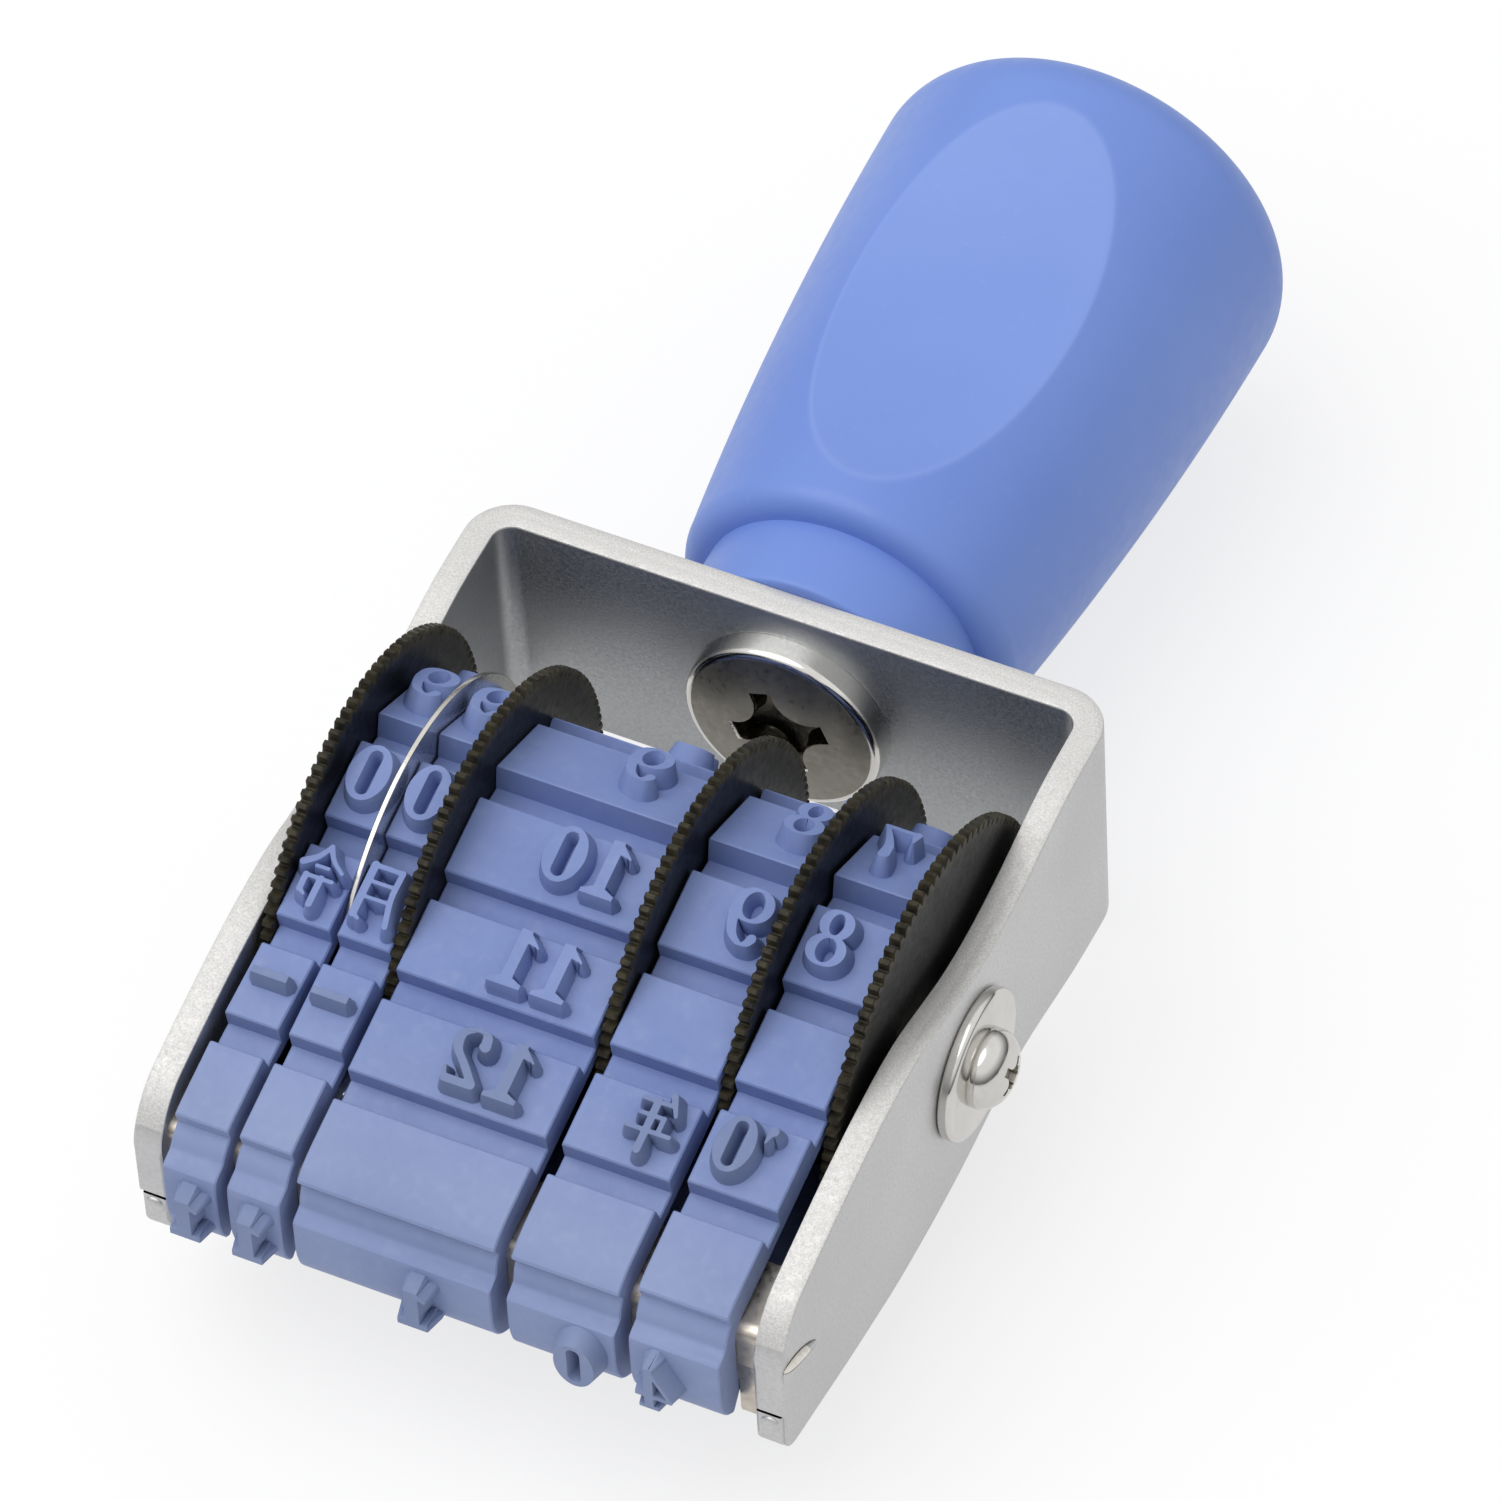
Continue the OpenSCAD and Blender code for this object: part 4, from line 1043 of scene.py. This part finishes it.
def shoulder_piece(name, side):
    """The bridge's shoulder between the last band and the plate, down to where its tongue starts."""
    build = Build()
    soft, inner = SHOULDER_SOFT, SHOULDER_INNER[side]
    section = np.array(arc(SHOULDER_FRONT + soft, SHOULDER_TOP - soft, soft, 90, 180, 5)
                       + arc(SHOULDER_FRONT + soft, SHOULDER_LOW + soft, soft, 180, 270, 5)
                       + [(SHOULDER_BACK, SHOULDER_LOW), (SHOULDER_BACK, SHOULDER_TOP)])
    middle = section.mean(0)
    rows = []
    for x, shrink in ((inner, SHOULDER_CHAMFER), (inner + SHOULDER_CHAMFER, 0.0),
                      (HALF_W - SHEET + SHOULDER_SUNK, 0.0)):
        rows.append([(side * x, *p) for p in section + (middle - section) * shrink])
    build.capped(rows)
    build.piece(name, "nickel", [], [SHEET_NICKEL], crease=40.0)


def lance_piece(name, side):
    """A slit at the foot of a plate: the sheet behind it is pressed out and shows a crescent lip, with a
    painted highlight on its lit faces and painted shadow lines along its edges.
    """
    build = Build()
    c, s = cos(LIP_SLANT), sin(LIP_SLANT)
    rows = []
    for u in LIP_SPAN:
        body = sqrt(1 - u * u) * (1.0 - LIP_SKEW * u)
        row = []
        y = LIP_HALF * u
        for across, rise in LIP:
            z = across * (LIP_ENDS + (1 - LIP_ENDS) * body) - LIP_BOW * u * u + LIP_OFF
            row.append((side * (HALF_W + LIP_HIGH * body * rise),
                        max(LIP_Y + y * c - z * s, FOOT_Y + LIP_CLEAR), LIP_Z + y * s + z * c))
        rows.append(row + [(side * (HALF_W - LIP_SUNK), y, z) for _, y, z in row[::-1]])
    build.capped(rows)
    m = len(rows[0])
    # Painted light: shadow lines along the lip's edges and a highlight on its lit faces
    for k in range((len(rows) - 1) * m):
        i, j = divmod(k, m)
        painted_lit = j in LIP_LIT and i < LIP_LIT_ROWS
        build.mats[k] = 2 if j in LIP_SHADOW else 1 if painted_lit else 0
    build.piece(name, "plate", [], [PLATE, LIT_LIP, SHADED_RECESS], crease=60.0)


for make, label in ((tongue_piece, "tongue_end_"), (shoulder_piece, "bridge_shoulder_"),
                    (lance_piece, "pressed_rib_")):
    for side, name in SIDES:
        make(label + name, side)


# Carried-over CAD nodes: softened edges and their own finish


def dress(node, mat, soft_mm):
    obj = nodes[node]
    obj.data.materials.clear()
    obj.data.materials.append(mat)
    bevel = obj.modifiers.new("softened_edges", "BEVEL")
    bevel.width = soft_mm * MM
    bevel.segments = 2
    bevel.limit_method = "ANGLE"
    bevel.angle_limit = radians(40)


dress("bridge", SHEET_NICKEL, 0.06)
dress("handle_insert", BRASS, 0.05)
dress("axle", STEEL, 0.05)
dress("ring_left", STEEL, 0.03)
dress("ring_right", STEEL, 0.05)


# Stage: floor, light and camera

FLOOR_REACH = 6.0
LIT_AT = Vector((0, 0, 0.012))
PHOTO_SIZE, SENSOR, FOCAL, LEFT, UP = 1501, 36.0, 12000.0, 55.79, 63.656
AZ, EL, ROLL, DISTANCE = 27.4949, 50.0513, -3.1845, 691.18


def floor_material():
    """White to the eye with a soft shadow, pale grey in reflections, and plain grey to bounced light."""
    mat = bpy.data.materials.new("pale_floor")
    tree = Tree(mat)
    ray = tree.new("LightPath").node.outputs

    def surface(kind, grey):
        return tree.new(kind, {"Color": (grey, grey, grey, 1.0)})

    def blend(share, a, b):
        return tree.new("MixShader", {"Fac": share, 1: a, 2: b})

    shown = blend(0.75, surface("BsdfDiffuse", 0.9), surface("Emission", 1.0))
    mirrored = blend(0.75, surface("BsdfDiffuse", 0.6), surface("Emission", 0.95))
    bounced = blend(ray["Is Glossy Ray"], surface("BsdfDiffuse", 0.88), mirrored)
    tree.new("OutputMaterial", {"Surface": blend(ray["Is Camera Ray"], bounced, shown)})
    return mat


def stage_floor():
    me = bpy.data.meshes.new("floor")
    r = FLOOR_REACH
    me.from_pydata([(-r, -r, 0), (r, -r, 0), (r, r, 0), (-r, r, 0)], [], [(0, 1, 2, 3)])
    me.materials.append(floor_material())
    obj = add_object("floor", me)


def stage_world():
    """A studio dome, bright overhead and greyer towards the horizon, with more contrast in reflections."""
    world = bpy.data.worlds.new("studio_dome")
    scene.world = world
    tree = Tree(world)
    height = tree.new("SeparateXYZ", {0: tree.new("TexCoord", out="Generated")}, "Z")

    def dome(strength, *stops):
        grey = tree.ramp(height, *((at, (value, value, value)) for at, value in stops))
        return tree.new("Background", {"Color": grey, "Strength": strength})

    lit = dome(0.82, (0.0, 0.4), (0.15, 0.5), (0.4, 0.75), (0.75, 1.0))
    mirrored = dome(1.0, (0.0, 0.09), (0.1, 0.15), (0.3, 0.55), (0.57, 1.0))
    glossy = tree.new("LightPath", out="Is Glossy Ray")
    tree.new("OutputWorld", {"Surface": tree.new("MixShader", {"Fac": glossy, 1: lit, 2: mirrored})})


def stage_light(name, at, size, power):
    lamp = bpy.data.lights.new(name, "AREA")
    lamp.shape = "DISK"
    lamp.size = size
    lamp.energy = power
    obj = add_object(name, lamp)
    obj.location = at
    obj.rotation_euler = (LIT_AT - Vector(at)).to_track_quat("-Z", "Y").to_euler()


def stage_camera():
    """The photograph's camera, fitted to it: LEFT and UP move the picture, in the photograph's pixels."""
    az, el, roll = (radians(v) for v in (AZ, EL, ROLL))
    back = Vector((sin(az) * cos(el), -cos(az) * cos(el), sin(el)))
    right = Vector((cos(az), sin(az), 0))
    up = back.cross(right)
    c, s = cos(roll), sin(roll)
    right, up = right * c + up * s, up * c - right * s
    data = bpy.data.cameras.new("photo_view")
    data.sensor_width = SENSOR
    data.lens = SENSOR * FOCAL / PHOTO_SIZE
    data.shift_x = -LEFT / PHOTO_SIZE
    data.shift_y = -UP / PHOTO_SIZE
    camera = add_object("photo_view", data)
    origin = Vector(to_row((0.0, WEB_Y, 0.0)))
    turn = Matrix((right, up, back)).transposed().to_4x4()
    camera.matrix_world = Matrix.Translation(origin + back * DISTANCE * MM) @ turn
    scene.camera = camera


stage_floor()
stage_world()
stage_light("key_softbox", (-0.3, -0.2, 0.8), 0.9, 4.2)
stage_camera()
bpy.context.scene.view_settings.view_transform = "Standard"
